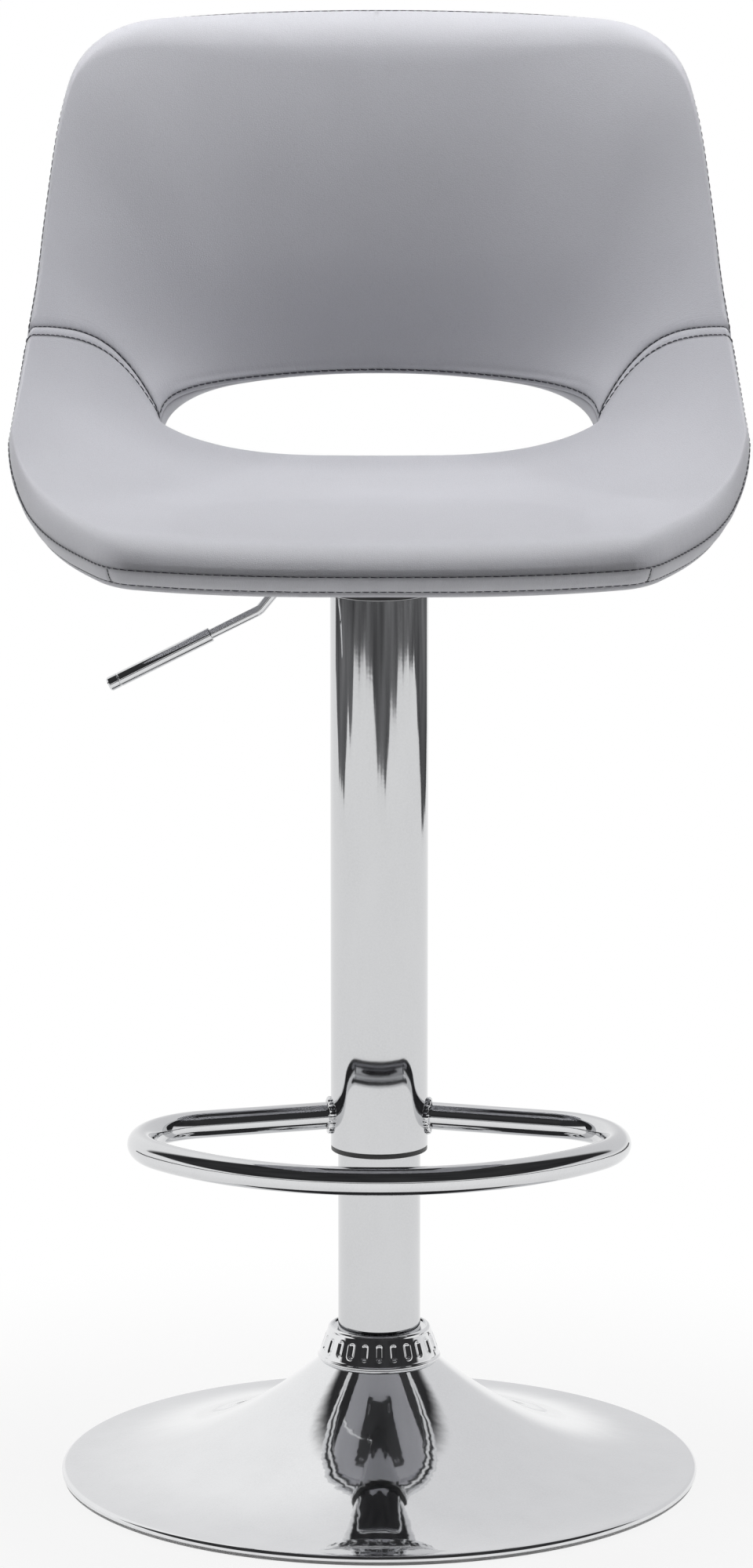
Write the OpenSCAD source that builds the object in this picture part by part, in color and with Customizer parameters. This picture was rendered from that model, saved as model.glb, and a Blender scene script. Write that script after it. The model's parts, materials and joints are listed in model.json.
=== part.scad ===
// Swivel bar stool with a gas lift: flared base, telescopic column, footrest and padded bucket seat.
// Millimetres. +Z is up and -Y is the front, where the sitter's knees are.
// The origin is on the floor, on the column's axis. The gas lift is drawn at its lowest stop.

/* [Base] */
// Diameter of the base over its rolled rim
base_d = 396; // [370:2:430]
// Height of the rim's upper edge over the floor
rim_h = 6; // [5:0.5:8]
// Height at which the flared cover ends under the collar
flare_h = 74; // [66:1:84]
// Diameter of the flared cover's neck
neck_d = 72; // [70:1:73]
// Thickness of the cover's sheet steel
cover_t = 1.6; // [1.2:0.1:2]
// Radius of the rim's rounded edge
rim_r = 2.4; // [2:0.2:2.6]
// Height of the soft ring that the stool stands on
floor_ring_h = 2.4; // [2:0.1:2.6]
// Width of the soft ring
floor_ring_w = 9; // [6:1:14]
// Thickness of the plate that closes the base from below
bottom_t = 1.2; // [0.8:0.1:1.6]
// Greatest thickness of the ballast under the cover
ballast_t = 7; // [6:0.5:12]

/* [Collar] */
// Outer diameter of the collar's lower bead
collar_d = 76.4; // [76:0.2:79]
// Outer diameter at the collar's upper edge
collar_top_d = 63.6; // [62:0.2:66]
// Height of the collar
collar_h = 21; // [19:0.5:25]
// Wall thickness of the collar
collar_t = 1.6; // [1.4:0.1:2]
// Number of dimples round the collar
dimple_count = 24; // [16:1:26]
// Width of a dimple
dimple_w = 4.4; // [3.6:0.2:5]
// Length of a dimple
dimple_l = 10; // [8:0.5:11]

/* [Column] */
// Outer diameter of the lower tube
lower_tube_d = 51; // [50:0.5:52]
// Outer diameter of the outer tube, which rises with the seat
outer_tube_d = 60; // [59:0.5:64]
// Wall thickness of both tubes
tube_wall = 1.5; // [1.2:0.1:1.8]
// Height of the outer tube's chromed foot over the floor at the lowest setting
tube_foot_h = 209.8; // [190:0.2:225]
// Length of the bush inside the outer tube's foot
foot_bush_l = 25; // [18:1:32]
// Height of the black flange that shows under the outer tube
foot_flange_h = 2.8; // [2:0.2:4]

/* [Gas lift] */
// Travel of the seat from its lowest to its highest setting
stroke = 210; // [160:5:220]
// Outer diameter of the pressure tube
pressure_tube_d = 28; // [27:0.5:29]
// Outer diameter of the piston rod
rod_d = 10; // [8:0.5:10.5]
// Height of the steel plate in the column that the gas lift stands on
bearing_h = 94; // [88:1:100]
// Thickness of that plate
bearing_plate_t = 6; // [4:0.5:8]
// Thickness of a bearing washer
race_t = 2.5; // [2:0.1:3]
// Diameter of a bearing ball
ball_d = 4.8; // [4:0.2:5]
// Number of bearing balls
ball_count = 10; // [8:1:11]
// Height of the rubber buffer on the piston rod
buffer_h = 40; // [30:1:44]
// Travel of the release pin, which the lever presses down
pin_travel = 3.4; // [3:0.1:3.6]
// Diameter of the release pin
pin_d = 8; // [6:0.5:8.4]

/* [Footrest] */
// Width over the footrest tube
footrest_w = 306; // [290:2:330]
// Distance from the column's axis to the middle of the footrest's front bar
footrest_reach = 168; // [160:1:180]
// Diameter of the footrest tube
footrest_tube_d = 17; // [15:0.5:19]
// Height of the footrest's middle over the outer tube's foot
footrest_rise = 18.2; // [17:0.2:30]
// Radius of the bends between the arms and the front bar
footrest_bend_r = 51; // [44:1:56]
// Angle at which the arms run forward from the column
footrest_arm_angle = 16.7; // [14:0.1:18]

/* [Lever] */
// Diameter of the lever's rod
lever_rod_d = 6.3; // [5.5:0.1:6.5]
// Distance from the column's axis to the lever's pivot
lever_pivot_x = 44; // [42:1:46]
// Length of the lever beyond the pin, on the far side of the axis
lever_nose = 3; // [2:0.5:5]
// Level run of the lever outside its pivot
lever_level_l = 8; // [7:0.5:12]
// Length of the lever's steep part
lever_drop_l = 33; // [28:1:38]
// Slope of the steep part
lever_drop_angle = 50.5; // [45:0.5:55]
// Length of the lever's long outer part
lever_arm_l = 103; // [95:1:120]
// Slope of the outer part
lever_arm_angle = 26.6; // [20:0.2:30]
// Length of the lever's grip sleeve
grip_l = 70; // [50:1:80]
// Diameter of the grip sleeve
grip_d = 9; // [8.6:0.1:11]

/* [Seat] */
// Height of the sitting surface over the floor, at the column and at the lowest setting
seat_h = 609; // [604:1:620]
// Greatest width of the seat
seat_w = 448; // [430:2:470]
// Length of the seat from its front edge to the top of the backrest, seen from above
seat_l = 448; // [430:2:460]
// Distance of the seat's front edge ahead of the column's axis
seat_front = 239.7; // [236:0.1:246]
// Height of the backrest's top over the sitting surface
back_h = 287; // [260:1:300]
// Thickness of the pads, down to their outer seam
pad_t = 18; // [15:0.5:19]
// Thickness of the moulded plywood shell
ply_t = 9; // [8:0.5:10]
// Thickness of the padded cover on the outside of the shell
outer_cover_t = 6.4; // [5:0.2:8]
// Radius of the rolled edge of the pads, measured along the surface
roll_w = 24; // [18:1:28]
// Radius of the pads' edge at the opening
hole_roll_w = 10; // [7:0.5:12]
// Depth of the pads' seam at the opening
hole_seam_h = 9; // [7:0.5:11]
// Crown of the pads over the straight line from edge to edge
pad_crown = 2.5; // [1:0.5:4]
// How far the edge band runs in under the seat at the front
front_undercut = 21; // [16:1:24]
// How far the edge band runs in behind the sides and the back
side_undercut = 8; // [6:0.5:10]
// How far the band widens the opening towards the outside, at the backrest
hole_undercut = 14; // [8:1:16]
// Width of the band where it goes round the opening
hole_band_w = 4; // [3:0.5:5]

/* [Seat plate] */
// Side of the square mounting plate
plate_w = 160; // [150:2:180]
// Thickness of the mounting plate
plate_t = 3; // [2.5:0.1:4]
// Distance between the plate's screws
screw_spacing = 120; // [100:2:130]
// Diameter of the screws
screw_d = 6; // [5:0.5:6.5]
// Outer diameter of the socket that grips the gas lift's taper
socket_d = 38; // [36:0.5:40]
// Length of the gas lift's taper
taper_l = 45; // [35:1:50]
// Narrowing of the taper from its foot to its top, on the diameter
taper_narrowing = 2; // [1:0.2:3]

/* [Hidden] */
$fn = 96;
quarter_turn = 90;
half_turn = 180;

// Clearances, and the overrun of every cut
gap = 0.3;
running_gap = 0.1;
press_gap = 0.05;

// Bends in round bars: how much thicker they are, and how far the straight parts run into them
bend_swell = 0.05;
bend_lap = 0.3;
over = 1;

// Base
base_r = base_d / 2;
neck_r = neck_d / 2;
flare_power = 2.1;
flare_steps = 28;
floor_ring_inset = 1;
ballast_edge = 8;
ballast_r = base_r - ballast_edge;
ballast_top = floor_ring_h + ballast_t;
flange_t = 4;
flange_w = 26;
socket_wall = 4.5;
socket_h = 46;
socket_screw_d = 6;
socket_screw_head_d = 10;
socket_screw_head_h = 4;
socket_screw_depth = 5.5;
socket_screw_count = 4;
lower_r = lower_tube_d / 2;
tube_foot_gap = 1.6;
tube_bottom = floor_ring_h + tube_foot_gap;

// Collar
collar_r = collar_d / 2;
collar_top_r = collar_top_d / 2;
collar_bead_h = 3.4;
collar_round = 2;
collar_lip_w = 3.6;
collar_lip_drop = 2;
dimple_depth = 0.9;

// Column and bushes
outer_r = outer_tube_d / 2;
foot_top = tube_foot_h + foot_bush_l;
guide_bush_l = 30;
guide_flange_t = 3;
guide_grip_l = 15;
cap_flange_t = 2.5;
cap_plug_l = 15;

// Thrust bearing and rod
rod_r = rod_d / 2;
ball_r = ball_d / 2;
race_bore_gap = 1.5;
race_r = 14;
ball_ring_r = 10;
cage_t = 2;
cage_gap = 0.2;
bearing_top = bearing_h + bearing_plate_t;
ball_z = bearing_top + race_t + running_gap + ball_r;
upper_race_z = ball_z + ball_r + running_gap;
buffer_z = upper_race_z + race_t;
buffer_r = 12;
clip_t = 2.7;
clip_r = 9;
clip_groove = 0.8;
rod_tail = 5;
pressure_bottom = buffer_z + buffer_h + gap;

// Pressure tube, valve and taper
pressure_r = pressure_tube_d / 2;
pressure_wall = 1.5;
crimp_t = 1.7;
crimp_w = 4.5;
seal_l = 24;
piston_clear = 9;
piston_t = 12;
inner_tube_wall = 1;
inner_tube_gap = 1.5;
valve_l = 20;
valve_spigot_l = 5;
tube_end_t = 5;
pin_r = pin_d / 2;
pin_end_gap = 1;
pin_proud = 6;

// Levels from the seat down to the outer tube
stack_t = pad_t + gap + ply_t + gap + outer_cover_t;
cover_squash = 1.5;
plate_top = seat_h - stack_t + cover_squash;
plate_z = plate_top - plate_t;
lever_plate_gap = 0.85;
lever_r = lever_rod_d / 2;
lever_z = plate_z - lever_plate_gap - lever_r;
pin_top = lever_z - lever_r - gap;
pressure_top = pin_top - pin_proud;
taper_foot = pressure_top - taper_l;
taper_top_r = pressure_r - taper_narrowing / 2;
tube_lever_gap = 8.8;
outer_tube_top = lever_z - lever_r - tube_lever_gap - cap_flange_t;
valve_top = pressure_top - tube_end_t - gap;
seal_z = pressure_bottom + crimp_t;
piston_z = pressure_bottom + crimp_t + seal_l + stroke + piston_clear;
socket_r = socket_d / 2;
slot_gap = 1;
slot_drop = 3;
socket_gap = 2;

// The lower tube reaches as high as the travel needs, and ends under the socket
lower_tube_top = min(foot_top + stroke + guide_grip_l, taper_foot - guide_flange_t - socket_gap);

// Footrest plan, with the front bar as one arc round a centre near the column
ring_z = tube_foot_h + footrest_rise;
ring_r = footrest_tube_d / 2;
ring_wall = 1.5;
arm_start_y = 8;
weld_r = 2.2;
bend_x = footrest_w / 2 - ring_r - footrest_bend_r;
arm_l = (bend_x + footrest_bend_r * sin(footrest_arm_angle)) / cos(footrest_arm_angle);
bend_y = arm_start_y - arm_l * sin(footrest_arm_angle) - footrest_bend_r * cos(footrest_arm_angle);
bend_rise = bend_y + footrest_reach;
front_r = (bend_x * bend_x + bend_rise * bend_rise - footrest_bend_r * footrest_bend_r)
          / (2 * (bend_rise - footrest_bend_r));
front_y = front_r - footrest_reach;
front_angle = atan2(bend_x, front_y - bend_y);

// Lever, as a path in the plane through the column's axis, with its heights counted from the pivot
lever_bend_r = 9;
lever_points = [[lever_nose, 0],
                [-lever_pivot_x - lever_level_l, 0],
                [-lever_pivot_x - lever_level_l - lever_drop_l * cos(lever_drop_angle),
                 -lever_drop_l * sin(lever_drop_angle)],
                [-lever_pivot_x - lever_level_l - lever_drop_l * cos(lever_drop_angle)
                 - lever_arm_l * cos(lever_arm_angle),
                 -lever_drop_l * sin(lever_drop_angle) - lever_arm_l * sin(lever_arm_angle)]];
lever_bends = [lever_drop_angle, lever_arm_angle - lever_drop_angle];
grip_end_t = 2;
grip_lip_h = 0.6;
lever_pin_d = 3;
lever_pin_head_d = 5;
lever_pin_head_t = 1.2;
ear_t = 2.5;
ear_w = 12;
ear_gap = 0.45;

// Screws of the seat plate
plate_corner_r = 12;
washer_d = 14;
washer_t = 1.5;
screw_head_d = 11;
screw_head_h = 4;
hex_key_w = 4;
hex_key_depth = 2.2;
screw_hole_gap = 0.2;
nut_flange_d = 16;
nut_flange_t = 1.2;
nut_wall = 1.2;
nut_rise = 1.2;
nut_l = 9;

// The seat's surface. Each row is one station from the front edge over the pan and up the back:
// the centre line's place and height, then the edge's half width, place and height.
// Places are shares of the seat's length, heights of the backrest's, half widths of the seat's.
shell_shares = [
    [0.000, 0.032, 0.920, 0.067, 0.053],
    [0.241, 0.014, 0.991, 0.228, 0.088],
    [0.504, 0.000, 1.000, 0.379, 0.143],
    [0.705, 0.007, 0.987, 0.513, 0.240],
    [0.839, 0.045, 0.969, 0.621, 0.351],
    [0.940, 0.198, 0.946, 0.692, 0.469],
    [0.964, 0.462, 0.924, 0.754, 0.615],
    [0.984, 0.740, 0.888, 0.817, 0.802],
    [1.000, 1.000, 0.826, 0.897, 1.000]];
sweep_power = 2.2;
lift_power = 3;
tangent_step_share = 0.05;

// The outline and the opening, in shares of the half width and in stations
last_row = len(shell_shares) - 1;
front_flat_share = 0.70;
front_corner_share = 0.757;
front_width_share = 0.76;
front_corner_row = 0.2;
taper_end_row = 2.45;
front_taper_power = 1.35;
top_flat_share = 0.70;
top_corner_row = 7.2;
top_corner_power = 3;
hole_width_share = 0.63;
hole_front_row = 4.05;
hole_corner_row = 4.22;
hole_back_row = 5.05;
hole_front_power = 5;
hole_back_power = 2.5;
seam_edge_row = 4.25;
seam_arch_rows = 0.46;
seam_arch_spread = 6;

// Extra length that a right-angled turn is worth when stations are placed
outline_turn_l = 120;
opening_turn_l = 20;

// Counts along the seat: stations of each pad on one side, and points across them
pad_stations = 16;
back_stations = 15;
roll_points = 4;
top_points = 7;
inner_points = 6;

function mix(a, b, t) = a + (b - a) * t;

rows = [for (r = shell_shares) [r[0] * seat_l - seat_front, seat_h + r[1] * back_h, r[2] * seat_w / 2,
                                r[3] * seat_l - seat_front, seat_h + r[4] * back_h]];

// The stations joined by a smooth curve
function station(v) =
    let (i = min(max(floor(v), 0), last_row - 1), f = v - i,
         b = rows[i], c = rows[i + 1],
         a = i > 0 ? rows[i - 1] : 2 * b - c,
         d = i + 2 <= last_row ? rows[i + 2] : 2 * c - b)
    (2 * b + (c - a) * f + (2 * a - 5 * b + 4 * c - d) * f * f + (3 * b - a - 3 * c + d) * f * f * f) / 2;

// A point of the inner surface: p is the share of the half width and the station
function skin_at(p) =
    let (s = station(p[1]), a = abs(p[0]))
    [s[2] * p[0], mix(s[0], s[3], pow(a, sweep_power)), mix(s[1], s[4], pow(a, lift_power))];

// The way through the seat's thickness: square to the surface in side view, away from the sitter
function depth_way(p) =
    let (step = [0, tangent_step_share], t = skin_at(p + step) - skin_at(p - step))
    [0, t[2], -t[1]] / norm([t[1], t[2]]);

// A quarter of a curve between an ellipse and a box
function superellipse(n, power) =
    [for (k = [0:n]) [pow(sin(quarter_turn * k / n), 2 / power), pow(cos(quarter_turn * k / n), 2 / power)]];

outline = concat(
    [for (k = [0:5]) [front_flat_share * k / 5, 0]],
    [for (k = [1:5]) let (t = k / 5, w = 1 - t, c = 2 * w * t,
                          end = 1 - (1 - front_width_share)
                                * pow(1 - front_corner_row / taper_end_row, front_taper_power))
        [w * w * front_flat_share + c * front_corner_share + t * t * end, t * t * front_corner_row]],
    [for (k = [1:14]) let (v = mix(front_corner_row, taper_end_row, k / 14))
        [1 - (1 - front_width_share) * pow(1 - v / taper_end_row, front_taper_power), v]],
    [for (k = [1:20]) [1, mix(taper_end_row, top_corner_row, k / 20)]],
    [for (k = [1:14]) let (q = superellipse(14, top_corner_power)[14 - k])
        [mix(top_flat_share, 1, q[0]), mix(top_corner_row, last_row, q[1])]],
    [for (k = [1:5]) [top_flat_share * (1 - k / 5), last_row]]);

opening = concat(
    [for (q = superellipse(16, hole_front_power))
        [hole_width_share * q[0], mix(hole_corner_row, hole_front_row, q[1])]],
    [for (k = [1:16]) let (q = superellipse(16, hole_back_power)[16 - k])
        [hole_width_share * q[0], mix(hole_corner_row, hole_back_row, q[1])]]);

// The running length at each point of a curve on the surface, where a turn counts as extra length
function chord(curve, i) = skin_at(curve[i + 1]) - skin_at(curve[i]);
function turn_at(curve, i) =
    i < 1 || i + 2 > len(curve) ? 0
    : let (a = chord(curve, i - 1), b = chord(curve, i)) acos(min(1, a * b / (norm(a) * norm(b))));
function lengths(curve, turn_l) =
    [for (i = 0, s = 0; i < len(curve);
          s = s + (i + 1 < len(curve)
                   ? norm(chord(curve, i))
                     + turn_l * (turn_at(curve, i) + turn_at(curve, i + 1)) / half_turn : 0),
          i = i + 1) s];
function at_length(curve, steps, s) =
    [lookup(s, [for (i = [0:len(curve) - 1]) [steps[i], curve[i][0]]]),
     lookup(s, [for (i = [0:len(curve) - 1]) [steps[i], curve[i][1]]])];

outline_steps = lengths(outline, outline_turn_l);
opening_steps = lengths(opening, opening_turn_l);
outline_l = outline_steps[len(outline) - 1];
opening_l = opening_steps[len(opening) - 1];
outline_seam = lookup(seam_edge_row, [for (i = [0:len(outline) - 1]) [outline[i][1], outline_steps[i]]]);
opening_seam = opening_steps[16];

// Spokes from the opening to the outline: first those of the seat pad, then those of the back pad
spokes = concat(
    [for (k = [0:pad_stations]) let (t = k / pad_stations)
        [at_length(opening, opening_steps, opening_seam * t),
         at_length(outline, outline_steps, outline_seam * t),
         seam_arch_rows * pow(t, seam_arch_spread), t, 0]],
    [for (k = [0:back_stations]) let (t = k / back_stations)
        [at_length(opening, opening_steps, mix(opening_seam + gap, opening_l, t)),
         at_length(outline, outline_steps, mix(outline_seam + gap, outline_l, t)),
         seam_arch_rows * pow(1 - t, seam_arch_spread), 1, t]]);
last_spoke = len(spokes) - 1;
function spoke_l(i) = norm(skin_at(spokes[i][1]) - skin_at(spokes[i][0]));
function on_spoke(i, s) = mix(spokes[i][0], spokes[i][1], s) + [0, spokes[i][2] * 4 * s * (1 - s)];
function undercut(i) = mix(front_undercut, side_undercut, spokes[i][3]);
function hole_cut(i) = hole_undercut * sin(quarter_turn * spokes[i][4]);

// A point at a share s of spoke i and at depth h, on the right or mirrored to the left
function seat_point(i, side, s, h) =
    let (p = on_spoke(i, s), q = skin_at(p) + h * depth_way(p)) [side * q[0], q[1], q[2]];

// The two edges of the layers under the pads, and the places between them that all layers share
function inner_share(i) = (hole_band_w + gap + hole_cut(i)) / spoke_l(i);
function outer_share(i) = 1 - (undercut(i) + gap) / spoke_l(i);
function inner_shares(i) = [for (k = [0:inner_points]) mix(inner_share(i), outer_share(i), k / inner_points)];

// Sections, as lists of share and depth
shell_h = pad_t + gap;
cover_h = shell_h + ply_t + gap;
outside_h = cover_h + outer_cover_t;
band_step = 4;
band_end_h = outside_h - band_step;
band_bulge = 1.2;
cover_round = 9;

function pad_section(i) =
    let (l = spoke_l(i), a = hole_roll_w / l, b = 1 - roll_w / l)
    concat(
        [for (k = [0:roll_points]) let (w = quarter_turn * k / roll_points)
            [a * (1 - cos(w)), hole_seam_h * (1 - sin(w))]],
        [for (k = [1:top_points]) let (t = k / (top_points + 1))
            [mix(a, b, t), -pad_crown * sin(half_turn * t)]],
        [for (k = [0:roll_points + 1]) let (w = quarter_turn * k / (roll_points + 1))
            [b + (1 - b) * sin(w), pad_t * (1 - cos(w))]],
        [for (k = [inner_points:-1:0]) [inner_shares(i)[k], pad_t]],
        [[inner_share(i), hole_seam_h]]);

function shell_section(i) =
    concat([for (s = inner_shares(i)) [s, shell_h]],
           [for (k = [inner_points:-1:0]) [inner_shares(i)[k], shell_h + ply_t]]);

function cover_section(i) =
    let (l = spoke_l(i), a = inner_share(i), b = outer_share(i))
    concat([for (s = inner_shares(i)) [s, cover_h]],
           [[b, band_end_h], [b - cover_round / l, outside_h]],
           [for (k = [inner_points - 1:-1:1]) [inner_shares(i)[k], outside_h]],
           [[a + cover_round / 2 / l, outside_h], [a, band_end_h]]);

function edge_section(i) =
    let (l = spoke_l(i), h = pad_t + gap, deep = band_end_h - gap)
    [[outer_share(i) + gap / l, h], [outer_share(i) + gap / l, deep],
     [1 - (undercut(i) / 2 - band_bulge) / l, (h + deep) / 2 + band_bulge], [1, h]];

function hole_section(i) =
    let (l = spoke_l(i), h = hole_seam_h + gap, deep = band_end_h - gap)
    [[0, h], [hole_cut(i) / l, deep], [inner_share(i) - gap / l, deep], [inner_share(i) - gap / l, h]];

// The end of a pad as triangles between its upper points and its lower ones, told apart by their number
function zip_foot(section, upper, j) =
    let (n = len(section), mid = section[j][0] + section[j + 1][0])
    len([for (k = [n - 1:-1:upper + 1]) if (section[k][0] + section[k - 1][0] < mid) k]);
function end_faces(section, upper) =
    let (n = len(section), feet = [for (j = [0:upper - 2]) zip_foot(section, upper, j)])
    concat([for (j = [0:upper - 2]) [j, j + 1, n - 1 - feet[j]]],
           [for (k = [0:n - upper - 2]) [n - 1 - k, len([for (f = feet) if (f <= k) f]), n - 2 - k]]);

// A skin round a row of equal loops of points, closed to a ring or with the given faces on its ends.
// From point under on, the triangles lie the other way, like those of the layer that the underside rests on.
module loft(loops, ring, under, first = [], last = []) {
    n = len(loops[0]);
    m = len(loops);
    faces = [for (k = [0:m - (ring ? 1 : 2)], j = [0:n - 1])
        let (a = k * n + j, b = k * n + (j + 1) % n, c = ((k + 1) % m) * n + (j + 1) % n,
             d = ((k + 1) % m) * n + j)
        each j < under ? [[a, c, b], [a, d, c]] : [[a, d, b], [b, d, c]]];
    ends = concat(first, [for (f = last) [f[0] + (m - 1) * n, f[2] + (m - 1) * n, f[1] + (m - 1) * n]]);
    polyhedron([for (loop = loops, p = loop) p], concat(faces, ends), convexity = 10);
}

upper_count = 2 * roll_points + top_points + 3;
function loop_at(i, side, section) = [for (q = section) seat_point(i, side, q[0], q[1])];
seat_run = [for (k = [-pad_stations:pad_stations]) [abs(k), k < 0 ? -1 : 1]];
back_run = concat([for (i = [pad_stations + 1:last_spoke]) [i, 1]],
                  [for (i = [last_spoke - 1:-1:pad_stations + 1]) [i, -1]]);
ring_run = concat([for (i = [0:last_spoke]) if (i != pad_stations + 1) [i, 1]],
                  [for (i = [last_spoke - 1:-1:1]) if (i != pad_stations + 1) [i, -1]]);

// Base

function flare_z(r) = rim_h + (flare_h - rim_h) * pow(max(base_r - rim_r - r, 0)
                      / (base_r - rim_r - neck_r), flare_power);
function flare_r(k) = mix(base_r - rim_r, neck_r, pow(k / flare_steps, 1 / 1.3));

module floor_ring() {
    color("gainsboro")
    difference() {
        cylinder(h = floor_ring_h, r = base_r - floor_ring_inset);
        translate([0, 0, -over])
        cylinder(h = floor_ring_h + 2 * over, r = base_r - floor_ring_inset - floor_ring_w);
    }
}

module bottom_plate() {
    color("dimgray")
    translate([0, 0, floor_ring_h - bottom_t])
    cylinder(h = bottom_t, r = base_r - floor_ring_inset - floor_ring_w - gap);
}

module at_socket_screws() {
    for (k = [0:socket_screw_count - 1])
    rotate([0, 0, 45 + k * 360 / socket_screw_count])
    translate([lower_r + socket_wall + (flange_w - socket_wall) / 2, 0, 0])
    children();
}

module ballast() {
    color("darkslategray")
    difference() {
        rotate_extrude()
        polygon(concat(
            [[lower_r + gap, floor_ring_h], [ballast_r, floor_ring_h]],
            [for (k = [0:flare_steps]) let (r = mix(ballast_r, lower_r + gap, k / flare_steps))
                [r, min(ballast_top, flare_z(r) - cover_t - gap)]]));
        at_socket_screws()
        translate([0, 0, ballast_top - socket_screw_depth - over])
        cylinder(h = socket_screw_depth + 2 * over, r = socket_screw_d / 2 + running_gap);
    }
}

module base_cover() {
    color("silver")
    rotate_extrude()
    polygon(concat(
        [[base_r - cover_t, floor_ring_h], [base_r, floor_ring_h]],
        [for (k = [0:6]) let (w = quarter_turn * k / 6)
            [base_r - rim_r * (1 - cos(w)), rim_h - rim_r * (1 - sin(w))]],
        [for (k = [1:flare_steps]) [flare_r(k), flare_z(flare_r(k))]],
        [[neck_r - cover_t, flare_h]],
        [for (k = [flare_steps - 1:-1:0])
            [flare_r(k) - cover_t * pow(k / flare_steps, flare_power), flare_z(flare_r(k)) - cover_t]]));
}

module column_socket() {
    color("gray")
    difference() {
        union() {
            translate([0, 0, ballast_top])
            cylinder(h = flange_t, r = lower_r + flange_w);
            translate([0, 0, ballast_top])
            cylinder(h = socket_h, r = lower_r + socket_wall);
        }
        translate([0, 0, ballast_top - over])
        cylinder(h = socket_h + 2 * over, r = lower_r + press_gap);
        at_socket_screws()
        translate([0, 0, ballast_top - over])
        cylinder(h = flange_t + 2 * over, r = socket_screw_d / 2 + screw_hole_gap);
    }
}

module socket_screws() {
    color("dimgray")
    at_socket_screws() {
        translate([0, 0, ballast_top - socket_screw_depth])
        cylinder(h = socket_screw_depth + flange_t, r = socket_screw_d / 2);
        translate([0, 0, ballast_top + flange_t])
        difference() {
            cylinder(h = socket_screw_head_h, r = socket_screw_head_d / 2);
            translate([0, 0, socket_screw_head_h - hex_key_depth])
            cylinder(h = hex_key_depth + over, r = hex_key_w / 2, $fn = 6);
        }
    }
}

// Collar

collar_z = flare_z(collar_r - collar_t) + press_gap;
collar_top = collar_z + collar_h;
collar_bead_top = collar_z + collar_bead_h;
collar_face_r = collar_r - collar_t / 2;
collar_face_h = collar_h - collar_bead_h - collar_round;
collar_tilt = atan((collar_face_r - collar_top_r) / collar_face_h);

module dimple() {
    straight = dimple_l - dimple_w;
    translate([0, 0, -straight / 2]) {
        cylinder(h = straight, r = dimple_w / 2, $fn = 24);
        sphere(r = dimple_w / 2, $fn = 24);
        translate([0, 0, straight])
        sphere(r = dimple_w / 2, $fn = 24);
    }
}

module collar() {
    bore = lower_r + press_gap;
    lip = collar_top - collar_lip_drop;
    color("silver")
    difference() {
        rotate_extrude()
        polygon([[collar_r - collar_t, collar_z], [collar_face_r, collar_z],
                 [collar_r, collar_z + collar_bead_h / 4], [collar_r, collar_z + collar_bead_h * 3 / 4],
                 [collar_face_r, collar_bead_top], [collar_top_r, collar_top - collar_round],
                 [collar_top_r - collar_round / 4, collar_top - collar_round / 4],
                 [collar_top_r - collar_round, collar_top],
                 [bore + collar_lip_w, collar_top], [bore + collar_lip_w, lip], [bore, lip],
                 [bore, lip - collar_h / 3], [bore + collar_t, lip - collar_h / 3],
                 [bore + collar_t, lip - collar_t], [collar_top_r - collar_t, lip - collar_t],
                 [collar_face_r - collar_t, collar_bead_top]]);
        for (k = [0:dimple_count - 1])
        rotate([0, 0, k * 360 / dimple_count])
        translate([(collar_face_r + collar_top_r) / 2, 0, collar_bead_top + collar_face_h / 2])
        rotate([0, -collar_tilt, 0])
        translate([dimple_w / 2 - dimple_depth, 0, 0])
        dimple();
    }
}

// Column

module tube(r, wall, from, to) {
    difference() {
        translate([0, 0, from])
        cylinder(h = to - from, r = r);
        translate([0, 0, from - over])
        cylinder(h = to - from + 2 * over, r = r - wall);
    }
}

module lower_tube() {
    color("silver")
    tube(lower_r, tube_wall, tube_bottom, lower_tube_top);
}

module bearing_plate() {
    color("gray")
    tube(lower_r - tube_wall - press_gap, lower_r - tube_wall - press_gap - rod_r - gap,
         bearing_h, bearing_top);
}

module guide_bush() {
    color("black")
    difference() {
        union() {
            translate([0, 0, lower_tube_top - guide_bush_l])
            cylinder(h = guide_bush_l, r = lower_r - tube_wall - press_gap);
            translate([0, 0, lower_tube_top])
            cylinder(h = guide_flange_t, r = lower_r - gap);
        }
        translate([0, 0, lower_tube_top - guide_bush_l - over])
        cylinder(h = guide_bush_l + guide_flange_t + 2 * over, r = pressure_r + running_gap);
    }
}

module outer_tube() {
    color("silver")
    tube(outer_r, tube_wall, tube_foot_h, outer_tube_top);
}

module foot_bush() {
    color("black")
    difference() {
        union() {
            translate([0, 0, tube_foot_h - foot_flange_h])
            cylinder(h = foot_flange_h, r = outer_r - gap);
            translate([0, 0, tube_foot_h])
            cylinder(h = foot_bush_l, r = outer_r - tube_wall - press_gap);
        }
        translate([0, 0, tube_foot_h - foot_flange_h - over])
        cylinder(h = foot_bush_l + foot_flange_h + 2 * over, r = lower_r + running_gap);
    }
}

module tube_cap() {
    color("black")
    difference() {
        union() {
            translate([0, 0, outer_tube_top - cap_plug_l])
            cylinder(h = cap_plug_l, r = outer_r - tube_wall - press_gap);
            translate([0, 0, outer_tube_top])
            cylinder(h = cap_flange_t, r = outer_r);
        }
        translate([0, 0, outer_tube_top - cap_plug_l - over])
        cylinder(h = cap_plug_l + cap_flange_t + 2 * over, r = socket_r + press_gap);
    }
}

// Thrust bearing and gas lift

module race(z) {
    tube(race_r, race_r - rod_r - race_bore_gap, z, z + race_t);
}

module lower_race() {
    color("lightsteelblue")
    race(bearing_top);
}

module upper_race() {
    color("lightsteelblue")
    tube(race_r, race_r - rod_r - press_gap, upper_race_z, upper_race_z + race_t);
}

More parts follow.
